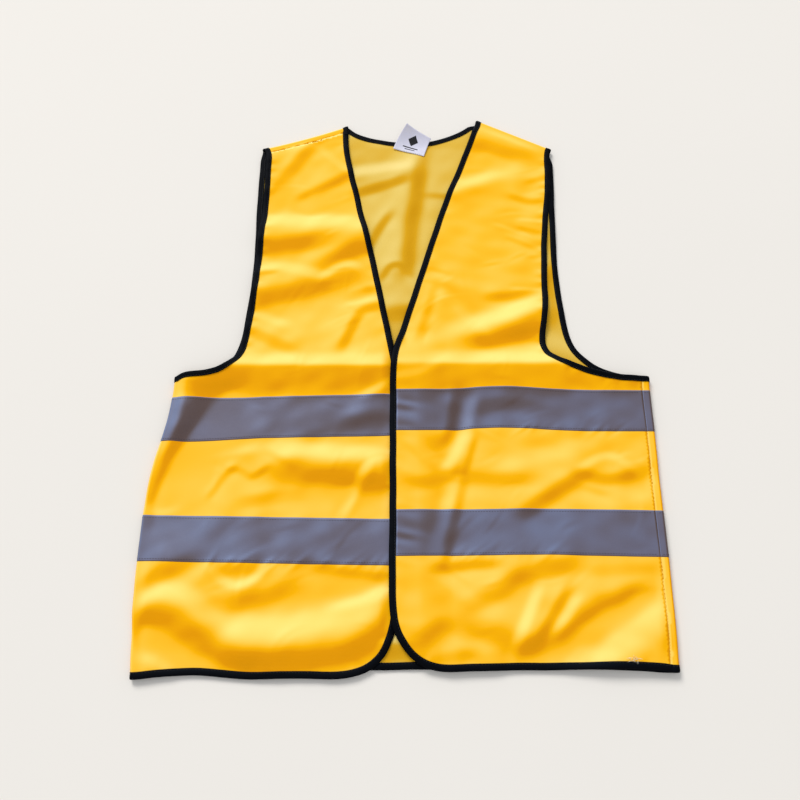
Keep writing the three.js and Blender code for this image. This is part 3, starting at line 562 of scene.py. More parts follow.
def roll(s, radius):
    """A sheet s past the start of a half turn: its travel outward, height, and length beyond."""
    angle = np.clip(s / radius, 0, math.pi)
    beyond = np.maximum(s - math.pi * radius, 0)
    return radius * np.sin(angle) - beyond, radius * np.cos(angle), beyond


def lay_right(x, y):
    """The right front: beyond the side it turns under to the back."""
    start = right_x(y) + ROLL
    top = z_right(np.maximum(x, start), y)
    out, up, _ = roll(start - x, (top - BACK_Z) / 2)
    return dip(np.stack([np.where(x >= start, x, start - out), y, (top + BACK_Z) / 2 + up], -1))


def lay_left(x, y):
    """The left front: beyond the shoulder it turns over to the back."""
    s = shoulder_l.beyond(x, y) + ROLL
    base = np.stack([x, y], -1) - np.maximum(s, 0)[..., None] * shoulder_l.out
    top = z_left(base[..., 0], base[..., 1])
    out, up, past = roll(s, (top - BACK_Z) / 2)
    q = base + out[..., None] * shoulder_l.out
    # its end lies outside the back's own edge
    z = (top + BACK_Z) / 2 + up - 0.55 * ease(past / 2)
    return np.stack([q[..., 0], q[..., 1], z], -1)


def lay_back(x, y):
    """The back: at the left side and the right shoulder it turns up and over the fronts."""
    start = left_x(y) - ROLL
    side = x > start
    s = shoulder_r.beyond(x, y) + ROLL
    over = (s > 0) & ~side & (x < 40)
    z = z_back(np.minimum(x, start), y)
    # left side: the strip follows the front that it lies on
    top = z_left(start, y) + 0.13
    out, up, past = roll(x - start, (top - BACK_Z) / 2)
    lies = z_left(start - past, y) + 0.13 - 0.14 * ease(past / 8.0)
    z = np.where(side, np.where(past > 0, lies, (top + BACK_Z) / 2 - up), z)
    laid_x = np.where(side, start + out, x)
    # right shoulder
    base = np.stack([x, y], -1) - np.maximum(s, 0)[..., None] * shoulder_r.out
    top = z_right(base[..., 0], base[..., 1]) + 0.14
    out, up, past = roll(s, (top - BACK_Z) / 2)
    q = base + out[..., None] * shoulder_r.out
    laid_x, laid_y = np.where(over, q[..., 0], laid_x), np.where(over, q[..., 1], y)
    lies = z_right(q[..., 0], q[..., 1]) + 0.14 - 0.16 * ease(past / 8.0)
    z = np.where(over, np.where(past > 0, lies, (top + BACK_Z) / 2 - up), z)
    return dip(np.stack([laid_x, laid_y, z], -1))


def normals(lay, x, y, e=0.4):
    n = np.cross(lay(x + e, y) - lay(x - e, y), lay(x, y + e) - lay(x, y - e))
    return n / np.maximum(np.linalg.norm(n, axis=-1), 1e-9)[..., None]


# ---------------------------------------------------------------- making meshes
def to_m(points):
    return (np.array(points, float).reshape(-1, 3) + ORIGIN) / 1000


def make(name, verts, faces, materials, slots=None, uv=None):
    mesh = bpy.data.meshes.new(name)
    mesh.from_pydata(to_m(verts).tolist(), [], [tuple(int(i) for i in f) for f in faces])
    for material in materials:
        mesh.materials.append(material)
    if slots is not None:
        mesh.polygons.foreach_set("material_index", np.array(slots, np.int32))
    mesh.polygons.foreach_set("use_smooth", np.ones(len(mesh.polygons), bool))
    if uv is not None:
        layer = mesh.uv_layers.new(name="cloth")
        index = np.zeros(len(mesh.loops), np.int32)
        mesh.loops.foreach_get("vertex_index", index)
        layer.data.foreach_set("uv", (np.array(uv, np.float32)[index] / 1000).ravel())
    mesh.validate()
    mesh.update()
    obj = bpy.data.objects.new(name, mesh)
    bpy.context.scene.collection.objects.link(obj)
    return obj


def solid(name, verts, faces, material, uv=None):
    """A mesh of one material with its normals turned outward."""
    obj = make(name, verts, faces, [material], uv=uv)
    bm = bmesh.new()
    bm.from_mesh(obj.data)
    bmesh.ops.recalc_face_normals(bm, faces=bm.faces)
    bm.to_mesh(obj.data)
    bm.free()
    obj.data.update()
    return obj


def block_faces(rows, cols, rims_last=False):
    """A closed block of two grids; its long rims come row by row, or after every row."""
    top = np.arange(rows * cols).reshape(rows, cols)
    low = top + rows * cols
    faces = []
    rims = [] if rims_last else faces
    for i in range(rows - 1):
        for j in range(cols - 1):
            faces.append((top[i, j], top[i + 1, j], top[i + 1, j + 1], top[i, j + 1]))
            faces.append((low[i, j], low[i, j + 1], low[i + 1, j + 1], low[i + 1, j]))
        rims.append((top[i, 0], low[i, 0], low[i + 1, 0], top[i + 1, 0]))
        rims.append((top[i, -1], top[i + 1, -1], low[i + 1, -1], low[i, -1]))
    if rims_last:
        faces += rims
    for j in range(cols - 1):
        faces.append((top[0, j], top[0, j + 1], low[0, j + 1], low[0, j]))
        faces.append((top[-1, j], low[-1, j], low[-1, j + 1], top[-1, j + 1]))
    return faces


def block(name, top, low, shape, material, flat, rims_last=False):
    faces = block_faces(*shape, rims_last)
    return solid(name, np.vstack([top, low]), faces, material, np.vstack([flat, flat]))


def ring_quads(base, levels, sides):
    """The quads joining successive rings of vertices."""
    return [(base + k * sides + j, base + k * sides + (j + 1) % sides,
             base + (k + 1) * sides + (j + 1) % sides, base + (k + 1) * sides + j)
            for k in range(levels - 1) for j in range(sides)]


def square_tube(base, levels):
    last = base + 4 * (levels - 1)
    ends = [(base, base + 3, base + 2, base + 1), tuple(range(last, last + 4))]
    return ring_quads(base, levels, 4) + ends


def inside(polygon, points):
    x, y = points[:, 0], points[:, 1]
    result = np.zeros(len(points), bool)
    j = len(polygon) - 1
    for i in range(len(polygon)):
        xi, yi = polygon[i]
        xj, yj = polygon[j]
        crosses = (yi > y) != (yj > y)
        if crosses.any():
            result ^= crosses & (x < (xj - xi) * (y - yi) / (yj - yi + 1e-12) + xi)
        j = i
    return result


def sheet(name, outline, lay, step, refined, materials, rim_slot):
    """A closed sheet of cloth with this unrolled outline.

    refined holds (test, points): where the test holds, these points replace the sheet's own.
    The materials are those of the upper and the lower face.
    """
    outline = np.array(outline, float)
    keep = [0]
    for i in range(1, len(outline)):
        if np.linalg.norm(outline[i] - outline[keep[-1]]) > 0.5:
            keep.append(i)
    outline = outline[keep]
    if np.linalg.norm(outline[0] - outline[-1]) < 0.5:
        outline = outline[:-1]
    dense = []
    for i in range(len(outline)):
        a, b = outline[i], outline[(i + 1) % len(outline)]
        n = max(1, int(round(np.linalg.norm(b - a) / (step * 1.1))))
        dense += [a + (b - a) * k / n for k in range(n)]
    edge = np.array(dense)
    lo, hi = edge.min(0), edge.max(0)
    rows = []
    for k, y in enumerate(np.arange(lo[1], hi[1], step * 0.866)):
        xs = np.arange(lo[0] + (k % 2) * step / 2, hi[0], step)
        rows.append(np.stack([xs, np.full(len(xs), y)], 1))
    points = np.vstack(rows)
    for test, extra in refined:
        points = np.vstack([points[~test(points)], extra])
    points = points[inside(edge, points)]
    # keep the inside points clear of the edge
    cell = step * 0.55
    taken = set()
    for px, py in np.floor(edge / cell).astype(int).tolist():
        taken.update((px + i, py + j) for i in (-1, 0, 1) for j in (-1, 0, 1))
    cells = map(tuple, np.floor(points / cell).astype(int).tolist())
    points = points[np.array([c not in taken for c in cells])]
    every = [Vector(p) for p in np.vstack([edge, points])]
    result = delaunay_2d_cdt(every, [], [list(range(len(edge)))], 1, 1e-6)
    flat = np.array([tuple(v) for v in result[0]])
    tris = np.array([list(t) for t in result[2]], int)
    a, b, c = flat[tris[:, 0]], flat[tris[:, 1]], flat[tris[:, 2]]
    area = (b[:, 0] - a[:, 0]) * (c[:, 1] - a[:, 1]) - (b[:, 1] - a[:, 1]) * (c[:, 0] - a[:, 0])
    tris = tris[np.abs(area) > 1e-6]
    area = area[np.abs(area) > 1e-6]
    tris[area < 0] = tris[area < 0][:, ::-1]
    used = np.unique(tris)
    remap = -np.ones(len(flat), int)
    remap[used] = np.arange(len(used))
    flat, tris = flat[used], remap[tris]
    laid = lay(flat[:, 0], flat[:, 1])
    face_n = np.cross(laid[tris[:, 1]] - laid[tris[:, 0]], laid[tris[:, 2]] - laid[tris[:, 0]])
    vert_n = np.zeros_like(laid)
    for k in range(3):
        np.add.at(vert_n, tris[:, k], face_n)
    vert_n /= np.maximum(np.linalg.norm(vert_n, axis=1), 1e-9)[:, None]
    n = len(laid)
    verts = np.vstack([laid + vert_n * CLOTH / 2, laid - vert_n * CLOTH / 2])
    faces = [tuple(t) for t in tris] + [tuple(t[::-1] + n) for t in tris]
    slots = [0] * len(tris) + [1] * len(tris)
    sides = np.vstack([tris[:, [0, 1]], tris[:, [1, 2]], tris[:, [2, 0]]]).tolist()
    known = {tuple(s) for s in sides}
    for i, j in sides:
        if (j, i) not in known:
            faces.append((j, i, i + n, j + n))
            slots.append(rim_slot)
    return make(name, verts, faces, materials, slots, np.vstack([flat, flat]))


def stitches(path, tangent, normal, pitch, length, radius, lift):
    """A row of thread: one small arched stitch after another along the path."""
    s = arc_lengths(path)
    starts = np.arange(0.4, s[-1] - length, pitch)
    sides, segments = 5, 4

    def at(q, values):
        return np.stack([np.interp(q, s, values[:, k]) for k in range(3)], -1)

    verts, faces = [], []
    for k in range(segments + 1):
        q = starts + length * k / segments
        c, n, t = at(q, path), at(q, normal), at(q, tangent)
        t /= np.linalg.norm(t, axis=1)[:, None]
        n /= np.linalg.norm(n, axis=1)[:, None]
        b = np.cross(t, n)
        end = k in (0, segments)
        h = lift * math.sin(math.pi * k / segments) - (0.25 if end else 0)
        r = radius * (0.55 if end else 1.0)
        for j in range(sides):
            a = 2 * math.pi * j / sides
            verts.append(c + h * n + r * (math.cos(a) * n + math.sin(a) * b))
    for i in range(len(starts)):
        base = i * (segments + 1) * sides
        faces += ring_quads(base, segments + 1, sides)
        faces.append(tuple(base + j for j in range(sides))[::-1])
        faces.append(tuple(base + segments * sides + j for j in range(sides)))
    return np.stack(verts, 1).reshape(-1, 3), faces


def merge_rows(name, rows, material):
    verts, faces, base = [], [], 0
    for row_verts, row_faces in rows:
        verts.append(row_verts)
        faces += [tuple(i + base for i in f) for f in row_faces]
        base += len(row_verts)
    return solid(name, np.vstack(verts), faces, material)


# ---------------------------------------------------------------- materials
LIGHT = Vector((-0.34, 0.70, 0.63)).normalized()  # towards the key light


class Shader:
    """A new material with a principled surface, and short ways to add its nodes."""

    def __init__(self, name):
        self.material = bpy.data.materials.new(name)
        self.material.use_nodes = True
        self.tree = self.material.node_tree
        self.tree.nodes.clear()
        out = self.node("ShaderNodeOutputMaterial")
        self.bsdf = self.node("ShaderNodeBsdfPrincipled")
        self.tree.links.new(self.bsdf.outputs[0], out.inputs[0])

    def node(self, kind, **settings):
        n = self.tree.nodes.new(kind)
        for key, value in settings.items():
            setattr(n, key, value)
        return n

    def feed(self, socket, value):
        """Links a socket, or sets a number or an RGB colour."""
        if isinstance(value, bpy.types.NodeSocket):
            self.tree.links.new(value, socket)
        else:
            socket.default_value = (*value, 1.0) if isinstance(value, tuple) else value

    def surface(self, values):
        for key, value in values.items():
            self.feed(self.bsdf.inputs[key], value)

    def coords(self, kind="UV"):
        return self.node("ShaderNodeTexCoord").outputs[kind]

    def math(self, operation, a, b, clamp=False):
        n = self.node("ShaderNodeMath", operation=operation, use_clamp=clamp)
        self.feed(n.inputs[0], a)
        self.feed(n.inputs[1], b)
        return n.outputs[0]

    def add(self, a, b, clamp=False):
        return self.math("ADD", a, b, clamp)

    def times(self, a, b):
        return self.math("MULTIPLY", a, b)

    def centred(self, a, amount):
        """A 0 to 1 value moved to swing about zero, times the amount."""
        return self.times(self.math("SUBTRACT", a, 0.5), amount)

    def mix(self, factor, a, b):
        n = self.node("ShaderNodeMix", data_type="RGBA")
        for i, value in ((0, factor), (6, a), (7, b)):
            self.feed(n.inputs[i], value)
        return n.outputs[2]

    def noise(self, coord, scale, detail=2.0, rough=0.5):
        n = self.node("ShaderNodeTexNoise")
        n.inputs["Scale"].default_value = scale
        n.inputs["Detail"].default_value = detail
        n.inputs["Roughness"].default_value = rough
        self.feed(n.inputs["Vector"], coord)
        return n.outputs[0]

    def wave(self, coord, scale, axis, distortion=0.0):
        n = self.node("ShaderNodeTexWave", bands_direction=axis)
        n.inputs["Scale"].default_value = scale
        n.inputs["Distortion"].default_value = distortion
        n.inputs["Detail"].default_value = 1.0
        self.feed(n.inputs["Vector"], coord)
        return n.outputs["Fac"]

    def facing_light(self, low, high):
        """How squarely the cloth faces the light, from 0 to 1."""
        geometry = self.node("ShaderNodeNewGeometry")
        dot = self.node("ShaderNodeVectorMath", operation="DOT_PRODUCT")
        self.feed(dot.inputs[0], geometry.outputs["Normal"])
        dot.inputs[1].default_value = LIGHT
        r = self.node("ShaderNodeMapRange", clamp=True)
        r.inputs["From Min"].default_value = low
        r.inputs["From Max"].default_value = high
        self.feed(r.inputs["Value"], dot.outputs["Value"])
        return r.outputs[0]

    def ramp(self, factor, stops):
        n = self.node("ShaderNodeValToRGB")
        elements = n.color_ramp.elements
        while len(elements) > 1:
            elements.remove(elements[-1])
        elements[0].position, elements[0].color = stops[0][0], (*stops[0][1], 1)
        for position, color in stops[1:]:
            elements.new(position).color = (*color, 1)
        self.feed(n.inputs[0], factor)
        return n.outputs[0]

    def bump(self, height, strength, distance):
        """distance is in metres."""
        n = self.node("ShaderNodeBump")
        n.inputs["Strength"].default_value = strength
        n.inputs["Distance"].default_value = distance
        self.feed(n.inputs["Height"], height)
        self.feed(self.bsdf.inputs["Normal"], n.outputs[0])


def satin(name, stops, rough, tint, specular):
    """Warp-knit cloth with painted light and shade: stops are its base colours, from the painted
    shade where it turns away from the key light to the painted highlight where it faces it.
    """
    sh = Shader(name)
    uv = sh.coords()
    # painted light and shade: the base colour follows how squarely the cloth faces the key light
    painted_shading = sh.facing_light(low=0.44, high=0.83)
    blotch = sh.noise(uv, scale=9.0, detail=3.0)
    painted_shading = sh.add(painted_shading, sh.centred(blotch, amount=0.10), clamp=True)
    color = sh.ramp(painted_shading, stops)
    # very fine ribs and the crossing rows
    ribs = sh.wave(uv, scale=330.0, axis="X", distortion=0.6)
    rows = sh.wave(uv, scale=250.0, axis="Y", distortion=0.8)
    knit = sh.add(sh.times(ribs, 0.6), sh.times(rows, 0.4))
    slub = sh.noise(uv, scale=420.0, rough=0.6)
    color = sh.mix(sh.centred(knit, amount=0.10), color, (1.0, 0.72, 0.16))
    dirt = sh.noise(uv, scale=23.0, detail=4.0, rough=0.6)
    color = sh.mix(sh.times(dirt, 0.07), color, (0.62, 0.33, 0.02))
    sh.surface({
        "Base Color": color,
        "Roughness": sh.add(sh.times(sh.noise(uv, scale=60.0, detail=3.0), 0.12), rough - 0.06),
        "Specular IOR Level": specular,
        "Sheen Weight": 0.0,
        "Sheen Roughness": 0.35,
        "Sheen Tint": tint,
    })
    height = sh.add(knit, sh.times(slub, 0.7))
    crinkle = sh.noise(uv, scale=95.0, detail=4.0, rough=0.62)
    sh.bump(sh.add(height, sh.times(crinkle, 2.2)), strength=0.30, distance=0.00022)
    return sh.material


def make_tape():
    sh = Shader("glass_bead_tape")
    uv = sh.coords()
    # painted shade and sheen: the base colour runs from brown where the tape turns away from the
    # key light to blue where it faces it; the cloud adds random tone
    painted_shading = sh.facing_light(low=0.49, high=0.77)
    cloud = sh.noise(uv, scale=13.0, detail=3.0)
    painted_shading = sh.add(painted_shading, sh.centred(cloud, amount=0.5), clamp=True)
    color = sh.ramp(painted_shading, [
        (0.0, (0.086, 0.050, 0.042)), (0.28, (0.100, 0.076, 0.088)),
        (0.52, (0.119, 0.115, 0.173)), (1.0, (0.152, 0.200, 0.350)),
    ])
    grain = sh.noise(uv, scale=900.0)
    color = sh.mix(sh.times(grain, 0.16), color, (0.30, 0.29, 0.34))
    scuff = sh.ramp(sh.noise(uv, scale=48.0, detail=6.0, rough=0.7),
                    [(0.0, (0, 0, 0)), (0.60, (0, 0, 0)), (0.75, (1, 1, 1))])
    color = sh.mix(sh.times(scuff, 0.10), color, (0.10, 0.07, 0.08))
    sh.surface({
        "Base Color": color,
        "Metallic": 0.08,
        "Roughness": sh.add(sh.times(sh.noise(uv, scale=70.0, detail=3.0), 0.16), 0.34),
        "Specular IOR Level": 0.2,
    })
    weave = sh.add(sh.wave(uv, scale=300.0, axis="X"), sh.wave(uv, scale=300.0, axis="Y"))
    wear = sh.times(weave, 0.4)
    crinkle = sh.times(sh.noise(uv, scale=120.0, detail=4.0, rough=0.6), 1.4)
    sh.bump(sh.add(wear, crinkle), strength=0.35, distance=0.00020)
    return sh.material


def make_binding():
    sh = Shader("black_binding")
    uv = sh.coords()
    # painted shade and a painted navy sheen: the near-black turns lighter and bluer where the
    # binding faces the key light
    color = sh.ramp(sh.facing_light(low=0.55, high=1.0), [
        (0.0, (0.0010, 0.0014, 0.0026)), (0.6, (0.0020, 0.0034, 0.0064)),
        (0.85, (0.006, 0.012, 0.021)), (1.0, (0.014, 0.030, 0.050)),
    ])
    worn = sh.noise(uv, scale=130.0, detail=4.0, rough=0.65)
    color = sh.mix(sh.times(worn, 0.03), color, (0.04, 0.05, 0.07))
    sh.surface({
        "Base Color": color,
        "Roughness": sh.add(sh.times(worn, 0.2), 0.42),
        "Specular IOR Level": 0.03,
        "Sheen Weight": 0.0,
    })
    twill = sh.wave(uv, scale=520.0, axis="DIAGONAL")
    height = sh.add(twill, sh.times(sh.noise(uv, scale=700.0), 0.6))
    sh.bump(height, strength=0.45, distance=0.00018)
    return sh.material


def plain(name, color, rough=0.7, grain=2500.0, depth=0.0001, sheen=0.2, vary=0.25, specular=0.3):
    """One colour, darkened by up to vary; depth is the bump's, in metres."""
    sh = Shader(name)
    n = sh.noise(sh.coords("Object"), scale=grain, detail=3.0, rough=0.6)
    sh.surface({
        "Base Color": sh.mix(n, tuple(c * (1 - vary) for c in color), color),
        "Roughness": sh.add(sh.times(n, 0.15), rough - 0.07),
        "Sheen Weight": sheen,
        "Specular IOR Level": specular,
    })
    sh.bump(n, strength=0.5, distance=depth)
    return sh.material


def make_label():
    sh = Shader("satin_label")
    uv = sh.coords()
    weave = sh.add(sh.wave(uv, scale=420.0, axis="X"), sh.wave(uv, scale=420.0, axis="Y"))
    cloud = sh.noise(uv, scale=40.0, detail=3.0)
    color = sh.mix(cloud, (0.60, 0.59, 0.74), (0.72, 0.71, 0.84))
    color = sh.mix(sh.times(weave, 0.06), color, (0.9, 0.9, 0.95))
    sh.surface({"Base Color": color, "Roughness": 0.45, "Sheen Weight": 0.15})
    sh.bump(weave, strength=0.25, distance=0.00012)
    return sh.material


# the face: painted shade to painted highlight, from turned away to facing the key light
fabric = satin("fluorescent_satin", [
    (0.0, (0.86, 0.34, 0.0)), (0.15, (0.93, 0.41, 0.0)), (0.30, (0.97, 0.46, 0.0)),
    (0.46, (1.0, 0.53, 0.026)), (0.72, (1.0, 0.64, 0.11)), (1.0, (1.0, 0.77, 0.215)),
], rough=0.55, tint=(1.0, 0.88, 0.45), specular=0.025)
# the wrong side: duller cloth, its ramp darkened partly as painted shade inside the vest
lining = satin("satin_wrong_side", [
    (0.0, (0.66, 0.30, 0.0)), (0.30, (0.73, 0.38, 0.01)), (0.46, (0.74, 0.46, 0.055)),
    (0.62, (0.78, 0.56, 0.13)), (1.0, (0.92, 0.76, 0.31)),
], rough=0.66, tint=(1.0, 0.9, 0.6), specular=0.03)
tape = make_tape()
binding = make_binding()
thread_grey = plain("grey_thread", (0.075, 0.055, 0.075))
thread_black = plain("black_thread", (0.005, 0.007, 0.011))
thread_yellow = plain("yellow_thread", (0.86, 0.42, 0.0), rough=0.6, sheen=0.0, vary=0.2,
                      specular=0.03)
# real stitches, made darker than the yellow thread as painted shade of the seam's groove
thread_seam_and_shade = plain("seam_thread_and_shade", (0.78, 0.36, 0.0), sheen=0.0, vary=0.2, specular=0.03)
thread_white = plain("white_thread", (0.95, 0.88, 0.66), rough=0.6)
hook_mat = plain("hook_tape", (0.020, 0.020, 0.022), rough=0.85, grain=1400.0, depth=0.0006,
                 sheen=0.4, vary=0.6)
loop_mat = plain("loop_tape", (0.028, 0.028, 0.030), rough=0.95, grain=900.0, depth=0.0009,
                 sheen=0.7, vary=0.6)
ink = plain("label_ink", (0.012, 0.012, 0.016), grain=900.0, depth=0.00005, sheen=0.0, vary=0.3)
label_mat = make_label()

# ---------------------------------------------------------------- cloth panels
LOW_R = side_right[0][1]  # y of the right side fold's lower end
LOW_X = right_x(LOW_R)
ARM_X = right_x(UNDERARM_RIGHT)
# the right underarm, from the turned-under end outward and round to the armhole
ARM_CORNER = [
    (ARM_X + ROLL - TURN_R, UNDERARM_RIGHT),
    (ARM_X + ROLL - 12, UNDERARM_RIGHT - 0.3),
    (ARM_X + ROLL - 7, UNDERARM_RIGHT - 2.0),
    (ARM_X + ROLL - 3.3, UNDERARM_RIGHT - 3.4),
    (ARM_X + ROLL, UNDERARM_RIGHT - 3.0),
    (ARM_X + 6, UNDERARM_RIGHT - 0.8),
]


def shoulder_points(origin, direction, shoulder):
    """Extra points across a shoulder roll, finer than the sheet's own."""
    u = np.arange(1.5, shoulder.length - 2.0 - 1, 3.0)
    s = np.arange(-1.5, TURN_S - 1.0, 0.8)
    u, s = np.meshgrid(u, s)
    along = u.ravel()[:, None] * direction[None]
    return origin[None] + along + (s.ravel() - ROLL)[:, None] * shoulder.out[None]


def side_points(fold_x, outward, bottom, top, tail):
    """Extra points across a side roll, then at the tail's distances past it."""
    distances = list(np.arange(-1.2, 8.0, 0.8)) + tail
    return np.array([(fold_x(y) - outward * ROLL + outward * s, y)
                     for y in np.arange(bottom, top, 3.0) for s in distances])


def clip_line(polygon, p, n):
    """The part of a polygon with (point - p).n < 0."""
    out = []
    for i in range(len(polygon)):
        a, b = polygon[i], polygon[(i + 1) % len(polygon)]
        da, db = (a - p) @ n, (b - p) @ n
        if da <= 0:
            out.append(a)
        if (da <= 0) != (db <= 0):
            out.append(a + (b - a) * da / (da - db))
    return np.array(out)


def right_panel():
    hem, arm = offset(front_right, EDGE), offset(arm_right, EDGE)
    turned = [[right_x(y) + ROLL - TURN_R, y] for y in np.arange(LOW_R, UNDERARM_RIGHT + EDGE, 5)]
    outline = np.vstack([
        hem[hem[:, 0] > -272],
        [[LOW_X + ROLL, LOW_R - EDGE], [LOW_X + ROLL - 9, LOW_R - EDGE + 2.2],
         [LOW_X + ROLL - TURN_R, LOW_R - EDGE + 2.6]],
        turned[2:],
        [[x, y + EDGE] for x, y in ARM_CORNER],
        arm[arm[:, 0] > -260],
        [[-184.5, 330.0], [-84.0, 368.0]],
    ])
    outline = clip_line(outline, shoulder_r.at_tip(0, -(SHOULDER - 1.8)), shoulder_r.out)
    extra = side_points(right_x, -1, LOW_R - 2, UNDERARM_RIGHT + 2, [10.0, 12.5, 15.5, 18.5, 21.5])
    refined = [(lambda p: p[:, 0] < right_x(p[:, 1]) + ROLL + 2.2, extra)]
    return sheet("front_panel_right", outline, lay_right, 2.6, refined, [fabric, lining], 0)


def left_panel():
    def seam(y):
        return left_x(y) - SIDE_L + 1.8

    hem, arm = offset(front_left, -EDGE), offset(arm_left, -EDGE)
    outline = np.vstack([
        hem[(hem[:, 0] < 268) | (hem[:, 1] > 0)],
        [[seam(HEM_LEFT), HEM_LEFT - EDGE]],
        [[seam(y), y] for y in np.arange(-350, -36, 8.0)],
        [[seam(UNDERARM_LEFT), UNDERARM_LEFT + EDGE]],
        arm[(arm[:, 0] < 276) & (arm[:, 1] < 303)],
        [shoulder_l.at_tip(1.0, -5), shoulder_l.at_tip(1.0, TURN_S - ROLL),
         shoulder_l.at_neck(1.0, TURN_S - ROLL), shoulder_l.at_neck(1.0, -5)],
    ])
    extra = shoulder_points(shoulder_l.at_neck(1.0, 0), -shoulder_l.inward, shoulder_l)
    refined = [(lambda p: shoulder_l.beyond(*p.T) > -ROLL - 2.0, extra)]
    return sheet("front_panel_left", outline, lay_left, 2.6, refined, [fabric, lining], 0)


def back_seam_x(y):
    """Where the back meets the turned-under right front."""
    return right_x(y) + SIDE_R + 0.4


def back_panel():
    hem, neck = offset(back_hem, -EDGE), offset(back_neck, EDGE)[::-1]
    left_arm, right_arm = offset(back_arm_left, EDGE)[::-1], offset(back_arm_right, -EDGE)
    low_fold, top_fold = left_x(HEM_LEFT) - ROLL, left_x(UNDERARM_LEFT) - ROLL
    outline = np.vstack([
        [[back_seam_x(-362.6), -362.6 - EDGE]],
        hem[(hem[:, 0] > -256) & (hem[:, 0] < 273)],
        [[low_fold, HEM_LEFT - EDGE], [low_fold + TURN_L, HEM_LEFT - EDGE]],
        [[left_x(y) - ROLL + TURN_L, y] for y in np.arange(-350, -36, 8.0)],
        [[top_fold + TURN_L, UNDERARM_LEFT + EDGE], [top_fold, UNDERARM_LEFT + EDGE]],
        left_arm[(left_arm[:, 0] < 279) & (left_arm[:, 1] < 299)],
        [shoulder_l.at_tip(1.0, -(SHOULDER - 3)), shoulder_l.at_neck(1.0, -(SHOULDER - 3))],
        neck[(neck[:, 0] > -72) & (neck[:, 0] < 88)],
        [shoulder_r.at_neck(4.6, -5), shoulder_r.at_neck(4.6, 4), shoulder_r.at_neck(4.8, 8),
         shoulder_r.at_neck(5.4, TURN_S - ROLL), shoulder_r.at_tip(5, TURN_S - ROLL),
         shoulder_r.at_tip(2, -1), shoulder_r.at_tip(1, -5)],
        right_arm[(right_arm[:, 1] < 300) & (right_arm[:, 0] > -246)],
        [[back_seam_x(-25.3), -25.3 + EDGE]],
        [[back_seam_x(y), y] for y in np.arange(-36, -358, -8.0)],
    ])
    side = side_points(left_x, 1, -360.0, UNDERARM_LEFT + 2, [9.5, 11.5, 13.5])
    top = shoulder_points(shoulder_r.at_tip(1, 0), shoulder_r.inward, shoulder_r)
    refined = [
        (lambda p: p[:, 0] > left_x(p[:, 1]) - ROLL - 2.4, side),
        (lambda p: (shoulder_r.beyond(*p.T) > -ROLL - 2.0) & (p[:, 0] < 0), top),
    ]
    return sheet("back_panel_cloth", outline, lay_back, 3.2, refined, [lining, fabric], 1)


panel_right, panel_left, panel_back = right_panel(), left_panel(), back_panel()

# ---------------------------------------------------------------- bindings
# The folded binding's section, upper half: its distance from the middle, positive to the
# cloth, and its height along the cloth's normal.
SECTION_OUTER = [(3.75, 0.95), (3.1, 1.06), (2.35, 0.93), (1.6, 1.1), (0.2, 1.2), (-1.4, 1.16),
                 (-2.6, 0.98), (-3.4, 0.6), (-3.75, 0.0)]
SECTION_INNER = [(3.75, 0.42), (1.5, 0.46), (-1.0, 0.5), (-2.3, 0.42), (-2.75, 0.0)]


def binding_section(scale):
    top = [(a, b * scale) for a, b in SECTION_OUTER]
    low = [(a, -b * scale) for a, b in SECTION_OUTER[::-1][1:]]
    return np.array(top + low + [(a, -b) for a, b in SECTION_INNER] + SECTION_INNER[::-1][1:])


def soften(values, rounds):
    values = values.copy()
    for _ in range(rounds):
        values[1:-1] = 0.25 * values[:-2] + 0.5 * values[1:-1] + 0.25 * values[2:]
    return values


def section_cap(base):
    """Closes the U section: 17 outer points joined to its 9 inner ones."""
    return [(base + 25 - k, base + 24 - k, base + 2 * k + 2, base + 2 * k + 1, base + 2 * k)
            for k in range(8)]


def bind(name, path, side, seed, scale=1.0):
    """Sweeps the binding along (points, normals); returns it and its path's frames."""
    p, n = path
    keep = [0]
    for i in range(1, len(p)):
        if np.linalg.norm(p[i] - p[keep[-1]]) > 1.2:
            keep.append(i)
    p, n = soften(p[keep], 1), soften(n[keep], 4)
    n /= np.linalg.norm(n, axis=1)[:, None]
    t = np.gradient(p, axis=0)
    t /= np.maximum(np.linalg.norm(t, axis=1), 1e-9)[:, None]
    n = n - (n * t).sum(1)[:, None] * t
    n /= np.linalg.norm(n, axis=1)[:, None]
    u = np.cross(t, n) * side  # towards the cloth
    s = arc_lengths(p)
    phase = np.random.RandomState(seed).uniform(0, 6.28, 4)
    swell = 1 + 0.12 * (0.5 * np.sin(s / 5.3 + phase[0]) + 0.5 * np.sin(s / 13.0 + phase[1]))
    shift = 0.18 * np.sin(s / 21.0 + phase[2]) + 0.12 * np.sin(s / 8.0 + phase[3])
    section = binding_section(scale)
    m = len(section)
    a = section[:, 0] + shift[:, None]
    b = section[:, 1] * np.where(np.abs(section[:, 1]) > 0.6, swell[:, None], 1)
    verts = p[:, None] + a[..., None] * u[:, None] + b[..., None] * n[:, None]
    faces = ring_quads(0, len(p), m) + section_cap(0)
    faces += [f[::-1] for f in section_cap((len(p) - 1) * m)]
    uv = np.repeat(np.stack([s, s * 0], 1), m, 0) + np.tile(section, (len(p), 1))
    return solid(name, verts.reshape(-1, 3), faces, binding, uv), (p, t, u, n)


def laid(lay, points, sign):
    points = np.array(points, float)
    return lay(*points.T), normals(lay, *points.T) * sign


def chain(*parts):
    return np.vstack([p for p, n in parts]), np.vstack([n for p, n in parts])


def line_to(a, b, step=0.8):
    return resample(np.array([a, b], float), step)


